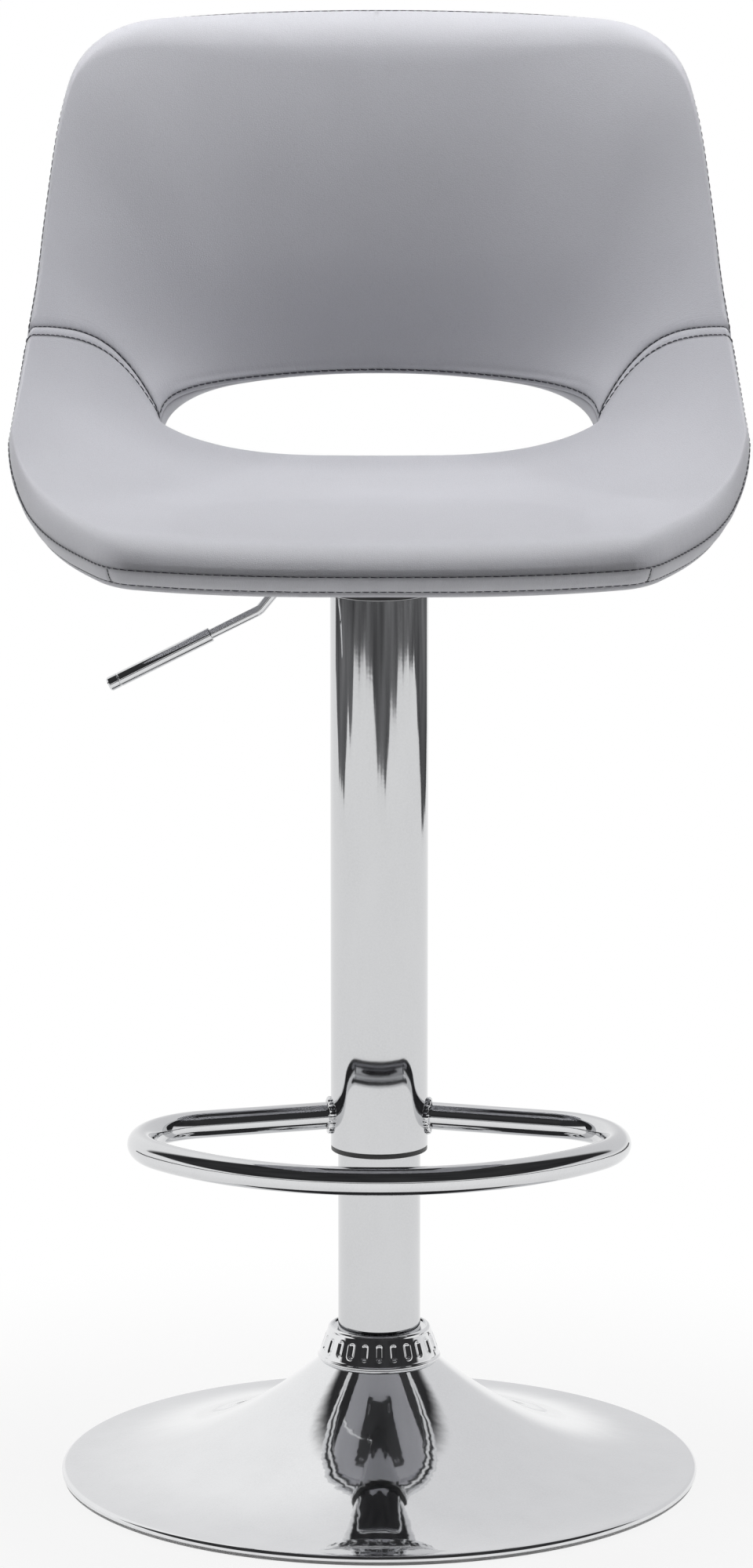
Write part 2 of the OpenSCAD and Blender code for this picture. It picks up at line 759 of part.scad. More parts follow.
module at_balls() {
    for (k = [0:ball_count - 1])
    rotate([0, 0, k * 360 / ball_count])
    translate([ball_ring_r, 0, ball_z])
    children();
}

module ball_cage() {
    color("goldenrod")
    difference() {
        tube(race_r - cage_gap, race_r - rod_r - race_bore_gap, ball_z - cage_t / 2, ball_z + cage_t / 2);
        at_balls()
        translate([0, 0, -cage_t])
        cylinder(h = 2 * cage_t, r = ball_r + cage_gap / 2, $fn = 24);
    }
}

module bearing_balls() {
    color("lightgray")
    at_balls()
    sphere(r = ball_r, $fn = 24);
}

module rubber_buffer() {
    color("black")
    difference() {
        union() {
            translate([0, 0, buffer_z])
            cylinder(h = buffer_h / 4, r = buffer_r);
            translate([0, 0, buffer_z + buffer_h / 4])
            cylinder(h = buffer_h * 3 / 4, r1 = buffer_r, r2 = buffer_r - crimp_t);
        }
        translate([0, 0, buffer_z - over])
        cylinder(h = buffer_h + 2 * over, r = rod_r + press_gap);
    }
}

clip_z = bearing_h - gap - clip_t;

module piston_rod() {
    color("lightgray")
    difference() {
        translate([0, 0, clip_z - rod_tail])
        cylinder(h = piston_z + piston_t + gap - clip_z + rod_tail, r = rod_r);
        tube(rod_r + over, clip_groove + over, clip_z, clip_z + clip_t);
    }
}

module rod_clip() {
    color("slategray")
    tube(clip_r, clip_r - rod_r + clip_groove - press_gap, clip_z + press_gap, clip_z + clip_t - press_gap);
}

inner_tube_r = pressure_r - pressure_wall - inner_tube_gap;
inner_bore_r = inner_tube_r - inner_tube_wall;

module piston() {
    color("orange")
    tube(inner_bore_r - running_gap, inner_bore_r - running_gap - rod_r - press_gap, piston_z,
         piston_z + piston_t);
}

module pressure_tube() {
    bore = pressure_r - pressure_wall;
    color("darkgray")
    difference() {
        union() {
            translate([0, 0, pressure_bottom])
            cylinder(h = taper_foot - pressure_bottom, r = pressure_r);
            translate([0, 0, taper_foot])
            cylinder(h = taper_l, r1 = pressure_r, r2 = taper_top_r);
        }
        translate([0, 0, pressure_bottom - over])
        cylinder(h = crimp_t + 2 * over, r = pressure_r - crimp_w);
        translate([0, 0, pressure_bottom + crimp_t])
        cylinder(h = taper_foot - pressure_bottom - crimp_t, r = bore);
        translate([0, 0, taper_foot])
        cylinder(h = taper_l - tube_end_t, r = bore - taper_narrowing / 2);
        translate([0, 0, pressure_top - tube_end_t - over])
        cylinder(h = tube_end_t + 2 * over, r = pin_r + gap);
    }
}

module inner_tube() {
    color("lightsteelblue")
    tube(inner_tube_r, inner_tube_wall, seal_z + seal_l, valve_top - valve_l);
}

module rod_seal() {
    color("seagreen")
    tube(pressure_r - pressure_wall - press_gap, pressure_r - pressure_wall - press_gap - rod_r - running_gap,
         seal_z, seal_z + seal_l);
}

module valve_body() {
    color("goldenrod")
    difference() {
        union() {
            translate([0, 0, valve_top - valve_l])
            cylinder(h = valve_l, r = pressure_r - pressure_wall - taper_narrowing / 2 - press_gap);
            translate([0, 0, valve_top - valve_l - valve_spigot_l])
            cylinder(h = valve_spigot_l, r = inner_bore_r - press_gap);
        }
        translate([0, 0, valve_top - valve_l - valve_spigot_l - over])
        cylinder(h = valve_l + valve_spigot_l + 2 * over, r = pin_r + running_gap);
    }
}

module valve_pin() {
    color("white")
    translate([0, 0, valve_top - valve_l - valve_spigot_l + pin_travel + pin_end_gap])
    cylinder(h = pin_top - valve_top + valve_l + valve_spigot_l - pin_travel - pin_end_gap, r = pin_r);
}

// Footrest

// The footrest's tube or its bore, whose bends are a trace thicker than the parts that run into them
module footrest_path(r) {
    lap = bend_lap * 180 / PI / front_r;
    // Arms
    for (side = [0, 1])
    mirror([side, 0, 0])
    translate([0, arm_start_y, ring_z])
    rotate([0, 0, -footrest_arm_angle])
    rotate([0, 90, 0])
    cylinder(h = arm_l + bend_lap, r = r, $fn = 48);
    // Bends
    for (side = [0, 1])
    mirror([side, 0, 0])
    translate([bend_x, bend_y, ring_z])
    rotate([0, 0, front_angle - 90])
    rotate_extrude(angle = 180 - front_angle - footrest_arm_angle)
    translate([footrest_bend_r, 0])
    circle(r = r + bend_swell, $fn = 48);
    // Front bar
    translate([0, front_y, ring_z])
    rotate([0, 0, -90 - front_angle - lap])
    rotate_extrude(angle = 2 * (front_angle + lap))
    translate([front_r, 0])
    circle(r = r, $fn = 48);
}

module footrest_ring() {
    color("silver")
    difference() {
        footrest_path(ring_r);
        footrest_path(ring_r - ring_wall);
        translate([0, 0, ring_z - footrest_tube_d])
        cylinder(h = 2 * footrest_tube_d, r = outer_r + press_gap);
    }
}

module footrest_welds() {
    root = sqrt(outer_r * outer_r - arm_start_y * arm_start_y);
    color("lightgray")
    for (side = [0, 1])
    mirror([side, 0, 0])
    difference() {
        translate([0, arm_start_y, ring_z])
        rotate([0, 0, -footrest_arm_angle])
        translate([root, 0, 0])
        rotate([0, 90, 0])
        rotate_extrude($fn = 48)
        translate([ring_r + weld_r / 2, 0])
        circle(r = weld_r, $fn = 20);
        translate([0, arm_start_y, ring_z])
        rotate([0, 0, -footrest_arm_angle])
        rotate([0, 90, 0])
        cylinder(h = arm_l, r = ring_r + press_gap, $fn = 48);
        translate([0, 0, ring_z - footrest_tube_d])
        cylinder(h = 2 * footrest_tube_d, r = outer_r + press_gap);
    }
}

// Seat plate, socket and lever

module at_corners(spacing) {
    for (x = [-1, 1], y = [-1, 1])
    translate([x * spacing / 2, y * spacing / 2, 0])
    children();
}

module seat_plate() {
    inner_w = plate_w - 2 * plate_corner_r;
    color("dimgray")
    translate([0, 0, plate_z])
    difference() {
        linear_extrude(height = plate_t)
        union() {
            square([plate_w, inner_w], center = true);
            square([inner_w, plate_w], center = true);
            at_corners(inner_w)
            circle(r = plate_corner_r);
        }
        at_corners(screw_spacing)
        translate([0, 0, -over])
        cylinder(h = plate_t + 2 * over, r = screw_d / 2 + screw_hole_gap);
    }
}

module taper_socket() {
    color("dimgray")
    difference() {
        translate([0, 0, taper_foot])
        cylinder(h = plate_z - taper_foot, r = socket_r);
        translate([0, 0, taper_foot])
        cylinder(h = taper_l, r1 = pressure_r + press_gap, r2 = taper_top_r + press_gap);
        translate([0, 0, pressure_top - press_gap])
        cylinder(h = plate_z - pressure_top + over, r = taper_top_r + press_gap);
        translate([-socket_r - over, -lever_r - slot_gap, pin_top - slot_drop])
        cube([socket_r + over, lever_rod_d + 2 * slot_gap, plate_z - pin_top + slot_drop + over]);
    }
}

module lever_bracket() {
    inner = lever_r + ear_gap;
    color("dimgray")
    for (side = [-1, 1])
    translate([-lever_pivot_x, side * (inner + ear_t / 2), 0])
    difference() {
        union() {
            translate([-ear_w / 2, -ear_t / 2, lever_z])
            cube([ear_w, ear_t, plate_z - lever_z]);
            translate([0, ear_t / 2, lever_z])
            rotate([90, 0, 0])
            cylinder(h = ear_t, r = ear_w / 2, $fn = 48);
        }
        translate([-ear_w, -ear_t, plate_z])
        cube([2 * ear_w, 2 * ear_t, ear_w]);
        translate([0, ear_t, lever_z])
        rotate([90, 0, 0])
        cylinder(h = 2 * ear_t, r = lever_pin_d / 2 + press_gap, $fn = 32);
    }
}

module lever_pin() {
    half = lever_r + ear_gap + ear_t + press_gap;
    color("lightgray")
    translate([-lever_pivot_x, 0, lever_z])
    rotate([90, 0, 0]) {
        translate([0, 0, -half])
        cylinder(h = 2 * half, r = lever_pin_d / 2, $fn = 32);
        for (side = [0, 1])
        mirror([0, 0, side])
        translate([0, 0, half])
        cylinder(h = lever_pin_head_t, r = lever_pin_head_d / 2, $fn = 32);
    }
}

// The lever's rod, whose bends are a trace thicker than its straight parts
function lever_way(k) = (lever_points[k + 1] - lever_points[k]) / norm(lever_points[k + 1] - lever_points[k]);
function cut_back(k) = lever_bend_r * tan(abs(lever_bends[k]) / 2) - bend_lap;

module round_bar(from, to, r) {
    way = to - from;
    translate([from[0], 0, from[1]])
    rotate([0, atan2(way[0], way[1]), 0])
    cylinder(h = norm(way), r = r, $fn = 48);
}

module lever_bend(k) {
    way = lever_way(k);
    turn = lever_bends[k];
    arm = sign(turn) * lever_bend_r * [way[1], -way[0]];
    centre = lever_points[k + 1] - way * lever_bend_r * tan(abs(turn) / 2) - arm;
    translate([centre[0], 0, centre[1]])
    rotate([90, 0, 0])
    rotate([0, 0, atan2(arm[1], arm[0]) + min(turn, 0)])
    rotate_extrude(angle = abs(turn))
    translate([lever_bend_r, 0])
    circle(r = lever_r + bend_swell, $fn = 48);
}

module lever_rod() {
    p = lever_points;
    color("silver")
    translate([0, 0, lever_z])
    difference() {
        union() {
            round_bar(p[0], p[1] - lever_way(0) * cut_back(0), lever_r);
            lever_bend(0);
            round_bar(p[1] + lever_way(1) * cut_back(0), p[2] - lever_way(1) * cut_back(1), lever_r);
            lever_bend(1);
            round_bar(p[2] + lever_way(2) * cut_back(1), p[3] - lever_way(2) * (grip_end_t + gap), lever_r);
        }
        translate([-lever_pivot_x, lever_rod_d, 0])
        rotate([90, 0, 0])
        cylinder(h = 2 * lever_rod_d, r = lever_pin_d / 2 + running_gap, $fn = 32);
    }
}

module lever_grip() {
    way = lever_way(2);
    end = lever_points[3];
    color("silver")
    translate([0, 0, lever_z])
    difference() {
        union() {
            round_bar(end - way * grip_l, end - way * grip_lip_h, grip_d / 2);
            round_bar(end - way * grip_lip_h, end, grip_d / 2 - grip_lip_h);
        }
        round_bar(end - way * (grip_l + over), end - way * grip_end_t, lever_r + press_gap);
    }
}

// Fasteners between the plate and the shell

module plate_washers() {
    color("lightgray")
    at_corners(screw_spacing)
    tube(washer_d / 2, washer_d / 2 - screw_d / 2 - screw_hole_gap, plate_z - washer_t, plate_z);
}

nut_top = seat_h + nut_rise - shell_h;

module plate_screws() {
    color("lightgray")
    at_corners(screw_spacing) {
        translate([0, 0, plate_z - washer_t])
        cylinder(h = nut_top - plate_z + washer_t, r = screw_d / 2);
        translate([0, 0, plate_z - washer_t - screw_head_h])
        difference() {
            cylinder(h = screw_head_h, r = screw_head_d / 2);
            translate([0, 0, -over])
            cylinder(h = hex_key_depth + over, r = hex_key_w / 2, $fn = 6);
        }
    }
}

module tee_nuts() {
    color("lightgray")
    at_corners(screw_spacing)
    difference() {
        union() {
            translate([0, 0, nut_top - nut_l])
            cylinder(h = nut_l, r = screw_d / 2 + running_gap + nut_wall);
            translate([0, 0, nut_top - nut_flange_t])
            cylinder(h = nut_flange_t, r = nut_flange_d / 2);
        }
        translate([0, 0, nut_top - nut_l - over])
        cylinder(h = nut_l + 2 * over, r = screw_d / 2 + running_gap);
    }
}

// Seat

module seat_shell() {
    color("burlywood")
    difference() {
        loft([for (q = ring_run) loop_at(q[0], q[1], shell_section(q[0]))], true, inner_points + 1);
        at_corners(screw_spacing) {
            translate([0, 0, nut_top - 2 * ply_t])
            cylinder(h = 3 * ply_t, r = screw_d / 2 + running_gap + nut_wall + press_gap);
            translate([0, 0, nut_top - nut_flange_t - press_gap])
            cylinder(h = 2 * ply_t, r = nut_flange_d / 2 + press_gap);
        }
    }
}

module seat_pad() {
    faces = end_faces(pad_section(pad_stations), upper_count);
    color("silver")
    loft([for (q = seat_run) loop_at(q[0], q[1], pad_section(q[0]))], false, upper_count - 1, faces, faces);
}

module back_pad() {
    faces = end_faces(pad_section(pad_stations + 1), upper_count);
    color("darkgray")
    loft([for (q = back_run) loop_at(q[0], q[1], pad_section(q[0]))], false, upper_count - 1, faces, faces);
}

module outer_cover() {
    color("lightslategray")
    difference() {
        loft([for (q = ring_run) [for (p = loop_at(q[0], q[1], cover_section(q[0])))
             [p[0], p[1], max(p[2], plate_top + gap)]]], true, inner_points + 1);
        at_corners(screw_spacing)
        translate([0, 0, plate_top - over])
        cylinder(h = cover_squash + outer_cover_t + 2 * ply_t, r = screw_d / 2 + running_gap + nut_wall + gap);
        at_corners(screw_spacing)
        translate([0, 0, nut_top - nut_flange_t - gap])
        cylinder(h = outer_cover_t + 2 * ply_t, r = nut_flange_d / 2 + gap);
    }
}

module edge_band() {
    color("lightgray")
    loft([for (q = ring_run) loop_at(q[0], q[1], edge_section(q[0]))], true, 1);
}

module hole_band() {
    color("lightgray")
    loft([for (q = ring_run) loop_at(q[0], q[1], hole_section(q[0]))], true, 1);
}

floor_ring();
bottom_plate();
ballast();
base_cover();
column_socket();
socket_screws();
collar();
lower_tube();
bearing_plate();
lower_race();
guide_bush();
ball_cage();
bearing_balls();
upper_race();
rubber_buffer();
piston_rod();
rod_clip();
piston();
pressure_tube();
inner_tube();
rod_seal();
valve_body();
valve_pin();
outer_tube();
foot_bush();
tube_cap();
footrest_ring();
footrest_welds();
seat_plate();
taper_socket();
lever_bracket();
lever_pin();
lever_rod();
lever_grip();
plate_washers();
plate_screws();
tee_nuts();
seat_shell();
seat_pad();
back_pad();
outer_cover();
edge_band();
hole_band();
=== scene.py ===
import json
import math

import bpy
import numpy as np
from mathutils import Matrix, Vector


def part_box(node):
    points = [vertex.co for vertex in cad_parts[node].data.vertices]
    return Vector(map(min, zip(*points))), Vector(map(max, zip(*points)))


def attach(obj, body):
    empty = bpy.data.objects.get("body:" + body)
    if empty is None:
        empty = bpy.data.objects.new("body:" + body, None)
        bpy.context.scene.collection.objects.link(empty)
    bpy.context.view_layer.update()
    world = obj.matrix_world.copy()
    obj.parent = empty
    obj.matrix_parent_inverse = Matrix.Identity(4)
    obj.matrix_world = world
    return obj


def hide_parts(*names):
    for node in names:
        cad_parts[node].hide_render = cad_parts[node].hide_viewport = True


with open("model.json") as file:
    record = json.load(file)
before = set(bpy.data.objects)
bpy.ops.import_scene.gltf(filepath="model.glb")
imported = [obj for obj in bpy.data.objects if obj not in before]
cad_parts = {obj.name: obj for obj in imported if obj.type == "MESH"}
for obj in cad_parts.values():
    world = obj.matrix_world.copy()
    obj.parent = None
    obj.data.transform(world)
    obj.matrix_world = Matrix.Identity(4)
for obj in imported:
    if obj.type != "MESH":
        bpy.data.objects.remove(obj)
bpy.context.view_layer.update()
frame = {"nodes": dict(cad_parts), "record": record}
nodes = frame["nodes"]
MM = 0.001
MIRROR = np.array([-1, 1, 1])


# ---------------------------------------------------------------- shader nodes

def bare_tree(owner):
    """The node tree of a material or world, emptied."""
    owner.use_nodes = True
    owner.node_tree.nodes.clear()
    return owner.node_tree


def feed(tree, socket, value):
    """Links another node's output to an input, or sets the input to a number, a vector or a colour."""
    if isinstance(value, bpy.types.NodeSocket):
        tree.links.new(value, socket)
    else:
        socket.default_value = (*value, 1) if socket.type == "RGBA" else value


def node(tree, kind, inputs=None, **settings):
    """A new shader node's outputs. inputs says what goes into which input, by the input's name or number."""
    new = tree.nodes.new("ShaderNode" + kind)
    for key, value in settings.items():
        setattr(new, key, value)
    for key, value in (inputs or {}).items():
        feed(tree, new.inputs[key], value)
    return new.outputs


def noise(tree, vector, size, detail=2.0, rough=0.5, stretch=None):
    """Noise whose features are about size units across."""
    if stretch:
        vector = node(tree, "VectorMath", {0: vector, 1: stretch}, operation="MULTIPLY")[0]
    inputs = {"Vector": vector, "Scale": 1 / size, "Detail": detail, "Roughness": rough}
    return node(tree, "TexNoise", inputs)["Fac"]


def calc(tree, operation, a, b=0.0, c=0.0, clamp=False):
    return node(tree, "Math", {0: a, 1: b, 2: c}, operation=operation, use_clamp=clamp)[0]


def spread(tree, value, low, high, to_low=0.0, to_high=1.0, curve="LINEAR"):
    """A value's range from low to high, turned into the range from to_low to to_high."""
    inputs = {"Value": value, "From Min": low, "From Max": high, "To Min": to_low, "To Max": to_high}
    return node(tree, "MapRange", inputs, interpolation_type=curve)[0]


def tint(tree, share, colour_a, colour_b):
    """A mix of two colours, the first at share 0 and the second at share 1."""
    return node(tree, "Mix", {"Factor": share, 6: colour_a, 7: colour_b}, data_type="RGBA")[2]


def shade(colour, factor):
    return tuple(min(1.0, factor * c) for c in colour)


def bump(tree, height, depth_mm, strength=1.0, under=None):
    inputs = {"Height": height, "Distance": depth_mm * MM, "Strength": strength}
    if under is not None:
        inputs["Normal"] = under
    return node(tree, "Bump", inputs)[0]


# ---------------------------------------------------------------- materials

def material(name, colour, metallic=0.0, roughness=0.5):
    """A new material: its node tree, its Principled shader and the object coordinates in millimetres."""
    mat = bpy.data.materials.new(name)
    tree = bare_tree(mat)
    shader = node(tree, "BsdfPrincipled", {"Base Color": colour, "Metallic": metallic, "Roughness": roughness})[0]
    node(tree, "OutputMaterial", {0: shader})
    place = node(tree, "TexCoord")["Object"]
    return mat, tree, shader.node, node(tree, "VectorMath", {0: place, "Scale": 1 / MM}, operation="SCALE")[0]


def surface(tree, shader, tone, rough, normal):
    for key, value in (("Base Color", tone), ("Roughness", rough), ("Normal", normal)):
        feed(tree, shader.inputs[key], value)


def leather(name, colour):
    """Imitation leather: a fine pebble grain, soft creases, puckers that run out from the seams, and painted shade in
    the grain's crevices and in the grooves of the seams.
    """
    mat, tree, shader, mm = material(name, colour)
    swirl = node(tree, "TexNoise", {"Scale": 0.7, "Vector": mm})["Color"]
    warped = node(tree, "VectorMath", {0: swirl, 1: (0.9, 0.9, 0.9), 2: mm}, operation="MULTIPLY_ADD")[0]
    cells = node(tree, "TexVoronoi", {"Scale": 1 / 1.15, "Vector": warped}, feature="DISTANCE_TO_EDGE")
    pebble = calc(tree, "MULTIPLY", cells["Distance"], 2.6, clamp=True)
    pebble = calc(tree, "POWER", pebble, 0.6)
    grain = calc(tree, "MULTIPLY_ADD", noise(tree, mm, 0.35), 0.35, calc(tree, "MULTIPLY", pebble, 0.65))
    crease = noise(tree, mm, 5.5, 4, 0.6, (1.0, 1.0, 0.5))
    wide = noise(tree, mm, 70)
    # The pieces of leather carry their points' distance from a seam and their place along it
    seam, run = (node(tree, "Attribute", attribute_name=key)["Fac"] for key in ("seam_mm", "run_mm"))
    near = calc(tree, "EXPONENT", calc(tree, "MULTIPLY", seam, -0.16))
    beside = node(tree, "CombineXYZ", {0: run, 1: calc(tree, "MULTIPLY", seam, 0.22)})[0]
    pucker = calc(tree, "MULTIPLY", noise(tree, beside, 4.2, 1.5), near)
    normal = bump(tree, crease, 0.13, 0.55)
    normal = bump(tree, pucker, 0.9, 0.55, normal)
    normal = bump(tree, grain, 0.145, 0.8, normal)
    tone = tint(tree, spread(tree, wide, 0.3, 0.7), shade(colour, 0.985), shade(colour, 1.025))
    # Painted shade: the crevices between the grain's cells are darker
    tone = tint(tree, spread(tree, pebble, 0.0, 0.55, 0.42, 0.0), tone, shade(colour, 0.80))
    # Painted shade: the leather turns much darker right beside each seam, standing in for the shade in the seam's
    # groove
    seam_groove_shade = calc(tree, "EXPONENT", calc(tree, "MULTIPLY", seam, -1.1))
    tone = tint(tree, calc(tree, "MULTIPLY", seam_groove_shade, 0.7), tone, shade(colour, 0.30))
    rough = calc(tree, "ADD", spread(tree, pebble, 0, 1, 0.50, 0.40), spread(tree, wide, 0.3, 0.7, -0.03, 0.05))
    surface(tree, shader, tone, rough, normal)
    shader.inputs["Specular IOR Level"].default_value = 0.45
    return mat


def chrome(name, tone, smear, wave=0.0):
    """Bright chrome plate: a trace of orange peel, smears left by wiping and a few hairline scratches."""
    mat, tree, shader, mm = material(name, tone, 1.0, 0.05)
    wipe = noise(tree, mm, 26, 3, 0.6, (1.0, 1.0, 0.35))
    hair = noise(tree, mm, 0.7, 1, 0.5, (1.0, 1.0, 0.02))
    rough = spread(tree, wipe, 0.35, 0.75, 0.035, 0.035 + 0.05 * smear)
    rough = calc(tree, "MULTIPLY_ADD", spread(tree, hair, 0.74, 0.80, 0, 0.6), 0.05, rough)
    dull = spread(tree, calc(tree, "MULTIPLY", wipe, noise(tree, mm, 1.1)), 0.1, 0.45)
    normal = bump(tree, noise(tree, mm, 3.0, 1), 0.01, 0.18)
    if wave:
        normal = bump(tree, noise(tree, mm, 15), wave, 0.5, normal)
    surface(tree, shader, tint(tree, dull, tone, shade(tone, 0.94)), rough, normal)
    return mat


def plain_metal(name, colour, roughness, grain_mm, lines=None):
    """Turned or blackened metal with a fine grain, drawn out to lines where lines says so."""
    mat, tree, shader, mm = material(name, colour, 1.0, roughness)
    fine = noise(tree, mm, grain_mm, 2, 0.5, lines)
    surface(tree, shader, tint(tree, noise(tree, mm, 12, 3), shade(colour, 0.82), shade(colour, 1.12)),
            spread(tree, fine, 0.3, 0.7, roughness - 0.07, roughness + 0.09), bump(tree, fine, 0.03, 0.35))
    return mat


def coated(name, colour, roughness, grain_mm, depth_mm, rub=0.0):
    """Paint, powder coat, plastic or rubber: a grainy surface whose colour varies a little, rubbed paler in spots."""
    mat, tree, shader, mm = material(name, colour, 0.0, roughness)
    grain = noise(tree, mm, grain_mm)
    tone = tint(tree, noise(tree, mm, 18, 3), shade(colour, 0.85), shade(colour, 1.15))
    if rub:
        worn = spread(tree, noise(tree, mm, 7, 5, 0.65), 0.62, 0.72, 0, rub)
        tone = tint(tree, worn, tone, tuple(min(1, c + 0.10) for c in colour))
    surface(tree, shader, tone, spread(tree, grain, 0.3, 0.7, roughness - 0.06, roughness + 0.08),
            bump(tree, grain, depth_mm, 0.6))
    return mat


def plywood(name):
    """Veneer with a long figure and fine pores."""
    mat, tree, shader, mm = material(name, (0.60, 0.43, 0.27))
    figure = noise(tree, mm, 14, 4, 0.6, (1.0, 0.12, 1.0))
    pores = noise(tree, mm, 0.6, 2, 0.5, (1.0, 0.06, 1.0))
    tone = tint(tree, spread(tree, figure, 0.3, 0.7), (0.66, 0.49, 0.31), (0.48, 0.33, 0.19))
    tone = tint(tree, spread(tree, pores, 0.55, 0.7, 0, 0.5), tone, (0.32, 0.21, 0.12))
    surface(tree, shader, tone, 0.6, bump(tree, pores, 0.06, 0.5))
    return mat


def thread(name):
    """Charcoal sewing thread, twisted from strands."""
    mat, tree, shader, mm = material(name, (0.045, 0.045, 0.055))
    inputs = {"Scale": 0.5, "Distortion": 1.5, "Vector": mm}
    twist = node(tree, "TexWave", inputs, bands_direction="DIAGONAL")["Fac"]
    surface(tree, shader, tint(tree, twist, (0.03, 0.03, 0.038), (0.075, 0.075, 0.088)), 0.55,
            bump(tree, calc(tree, "ADD", twist, noise(tree, mm, 0.15)), 0.08, 0.6))
    return mat


SEAT_TONE = (0.560, 0.562, 0.600)
TURNED = (1.0, 1.0, 0.1)
stitch_thread = thread("stitch_thread")
# One chrome plating in different tones: the base's is raised above the tube's so that the base renders brighter. This
# is a painted lightening, not a difference in the plating
tube_chrome = chrome("tube_chrome", (0.63, 0.635, 0.645), 0.5)
base_chrome = chrome("base_chrome", (0.79, 0.795, 0.805), 0.4, 0.16)
by_slot = {name: make(name, *look) for name, make, *look in (
    ("seat_leather", leather, SEAT_TONE),
    ("back_leather", leather, SEAT_TONE),
    ("outer_leather", leather, shade(SEAT_TONE, 0.97)),
    ("band_leather", leather, shade(SEAT_TONE, 0.98)),
    ("ring_grey", coated, (0.50, 0.50, 0.50), 0.55, 0.8, 0.05),
    ("dark_paint", coated, (0.030, 0.030, 0.033), 0.42, 0.55, 0.09, 0.25),
    ("iron", coated, (0.10, 0.10, 0.11), 0.75, 1.4, 0.25, 0.3),
    ("black_plastic", coated, (0.022, 0.022, 0.023), 0.38, 0.35, 0.03),
    ("black_rubber", coated, (0.030, 0.030, 0.030), 0.72, 0.6, 0.08),
    ("lift_paint", coated, (0.028, 0.028, 0.030), 0.26, 2.5, 0.02, 0.1),
    ("seal_plastic", coated, (0.10, 0.20, 0.16), 0.45, 0.5, 0.03),
    ("pin_plastic", coated, (0.75, 0.75, 0.73), 0.45, 0.5, 0.03),
    ("steel", plain_metal, (0.58, 0.58, 0.60), 0.30, 0.3, TURNED),
    ("dark_steel", plain_metal, (0.12, 0.12, 0.13), 0.36, 0.4),
    ("brass", plain_metal, (0.74, 0.56, 0.25), 0.28, 0.3, TURNED),
    ("plywood", plywood))}
by_slot["chrome"] = chrome("bar_chrome", (0.70, 0.705, 0.715), 0.4)
slot_of = {p["node"]: p["material_slot"] for p in frame["record"]["subparts"]}
for node_name, obj in nodes.items():
    obj.data.materials.clear()
    obj.data.materials.append(by_slot[slot_of[node_name]])


# ---------------------------------------------------------------- numbers and meshes

def mix(a, b, t):
    return a + (b - a) * t


def ease(x, low, high):
    """0 below low, 1 above high and a smooth rise between them."""
    t = np.clip((x - low) / (high - low), 0, 1)
    return t * t * (3 - 2 * t)


def unit(v):
    return v / np.linalg.norm(v, axis=-1, keepdims=True)


def run_of(points):
    """The running length at each point of a line."""
    return np.concatenate([[0], np.cumsum(np.linalg.norm(np.diff(points, axis=0), axis=1))])


def at_run(where, run, points):
    """Points at running lengths along a line."""
    return np.stack([np.interp(where, run, points[:, c]) for c in range(points.shape[1])], -1)


def circle(count):
    """Cosines and sines of even steps round a circle."""
    a = np.linspace(0, 2 * np.pi, count, endpoint=False)
    return np.cos(a), np.sin(a)


def add(name, data):
    """A new object in the scene."""
    obj = bpy.data.objects.new(name, data)
    bpy.context.scene.collection.objects.link(obj)
    return obj


def new_mesh(name, points, faces, mat):
    mesh = bpy.data.meshes.new(name)
    mesh.from_pydata(np.asarray(points, float).reshape(-1, 3).tolist(), [], faces)
    mesh.materials.append(mat)
    return mesh


def piece(name, points, faces, body, slot, replaces=(), sharp=35, values=None, mat=None):
    """A mesh object from points in millimetres. values are named numbers for each point, for its material."""
    mesh = new_mesh(name, np.asarray(points, float) * MM, faces, mat or by_slot[slot])
    mesh.polygons.foreach_set("use_smooth", [True] * len(mesh.polygons))
    mesh.set_sharp_from_angle(angle=math.radians(sharp))
    for key, numbers in (values or {}).items():
        layer = mesh.attributes.new(key, "FLOAT", "POINT")
        layer.data.foreach_set("value", np.asarray(numbers, np.float32).ravel())
    obj = add(name, mesh)
    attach(obj, body)
    if replaces:
        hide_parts(*replaces)
    return obj


def grid(m, n, ring_m, ring_n, flip=False):
    """Faces over m rows of n points, closed to a ring along either way."""
    faces = []
    for i in range(m if ring_m else m - 1):
        for j in range(n if ring_n else n - 1):
            a, b = i * n + j, i * n + (j + 1) % n
            c, d = ((i + 1) % m) * n + (j + 1) % n, ((i + 1) % m) * n + j
            faces.append((a, d, c, b) if flip else (a, b, c, d))
    return faces


def lathe(profile, steps):
    """A closed profile of radius and height, turned round the column's axis."""
    r, z = np.asarray(profile, float).T
    cos, sin = circle(steps)
    points = np.stack([np.outer(cos, r), np.outer(sin, r), np.tile(z, (steps, 1))], -1)
    return points, grid(steps, len(profile), True, True, flip=True)


def arc(centre, radius, start, end, count):
    """Points of an arc in radius and height, angles in degrees."""
    a = np.radians(np.linspace(start, end, count))
    return [(centre[0] + radius * math.cos(w), centre[1] + radius * math.sin(w)) for w in a]


def sweep(path, radii, sides, side_way, wide=1.0, high=1.0):
    """A bar along a path, with closed ends. radii and side_way are the same all along, or one for each point."""
    path = np.asarray(path, float)
    radii = np.broadcast_to(np.asarray(radii, float), (len(path),))
    along = unit(np.gradient(path, axis=0))
    side = unit(np.cross(along, np.asarray(side_way, float)))
    up = np.cross(side, along)
    cos, sin = circle(sides)
    ring = side[:, None] * cos[None, :, None] * wide + up[:, None] * sin[None, :, None] * high
    points = path[:, None] + ring * radii[:, None, None]
    faces = grid(len(path), sides, False, True)
    faces.append(tuple(range(sides - 1, -1, -1)))
    faces.append(tuple((len(path) - 1) * sides + k for k in range(sides)))
    return points.reshape(-1, 3), faces


# ---------------------------------------------------------------- base, collar and column

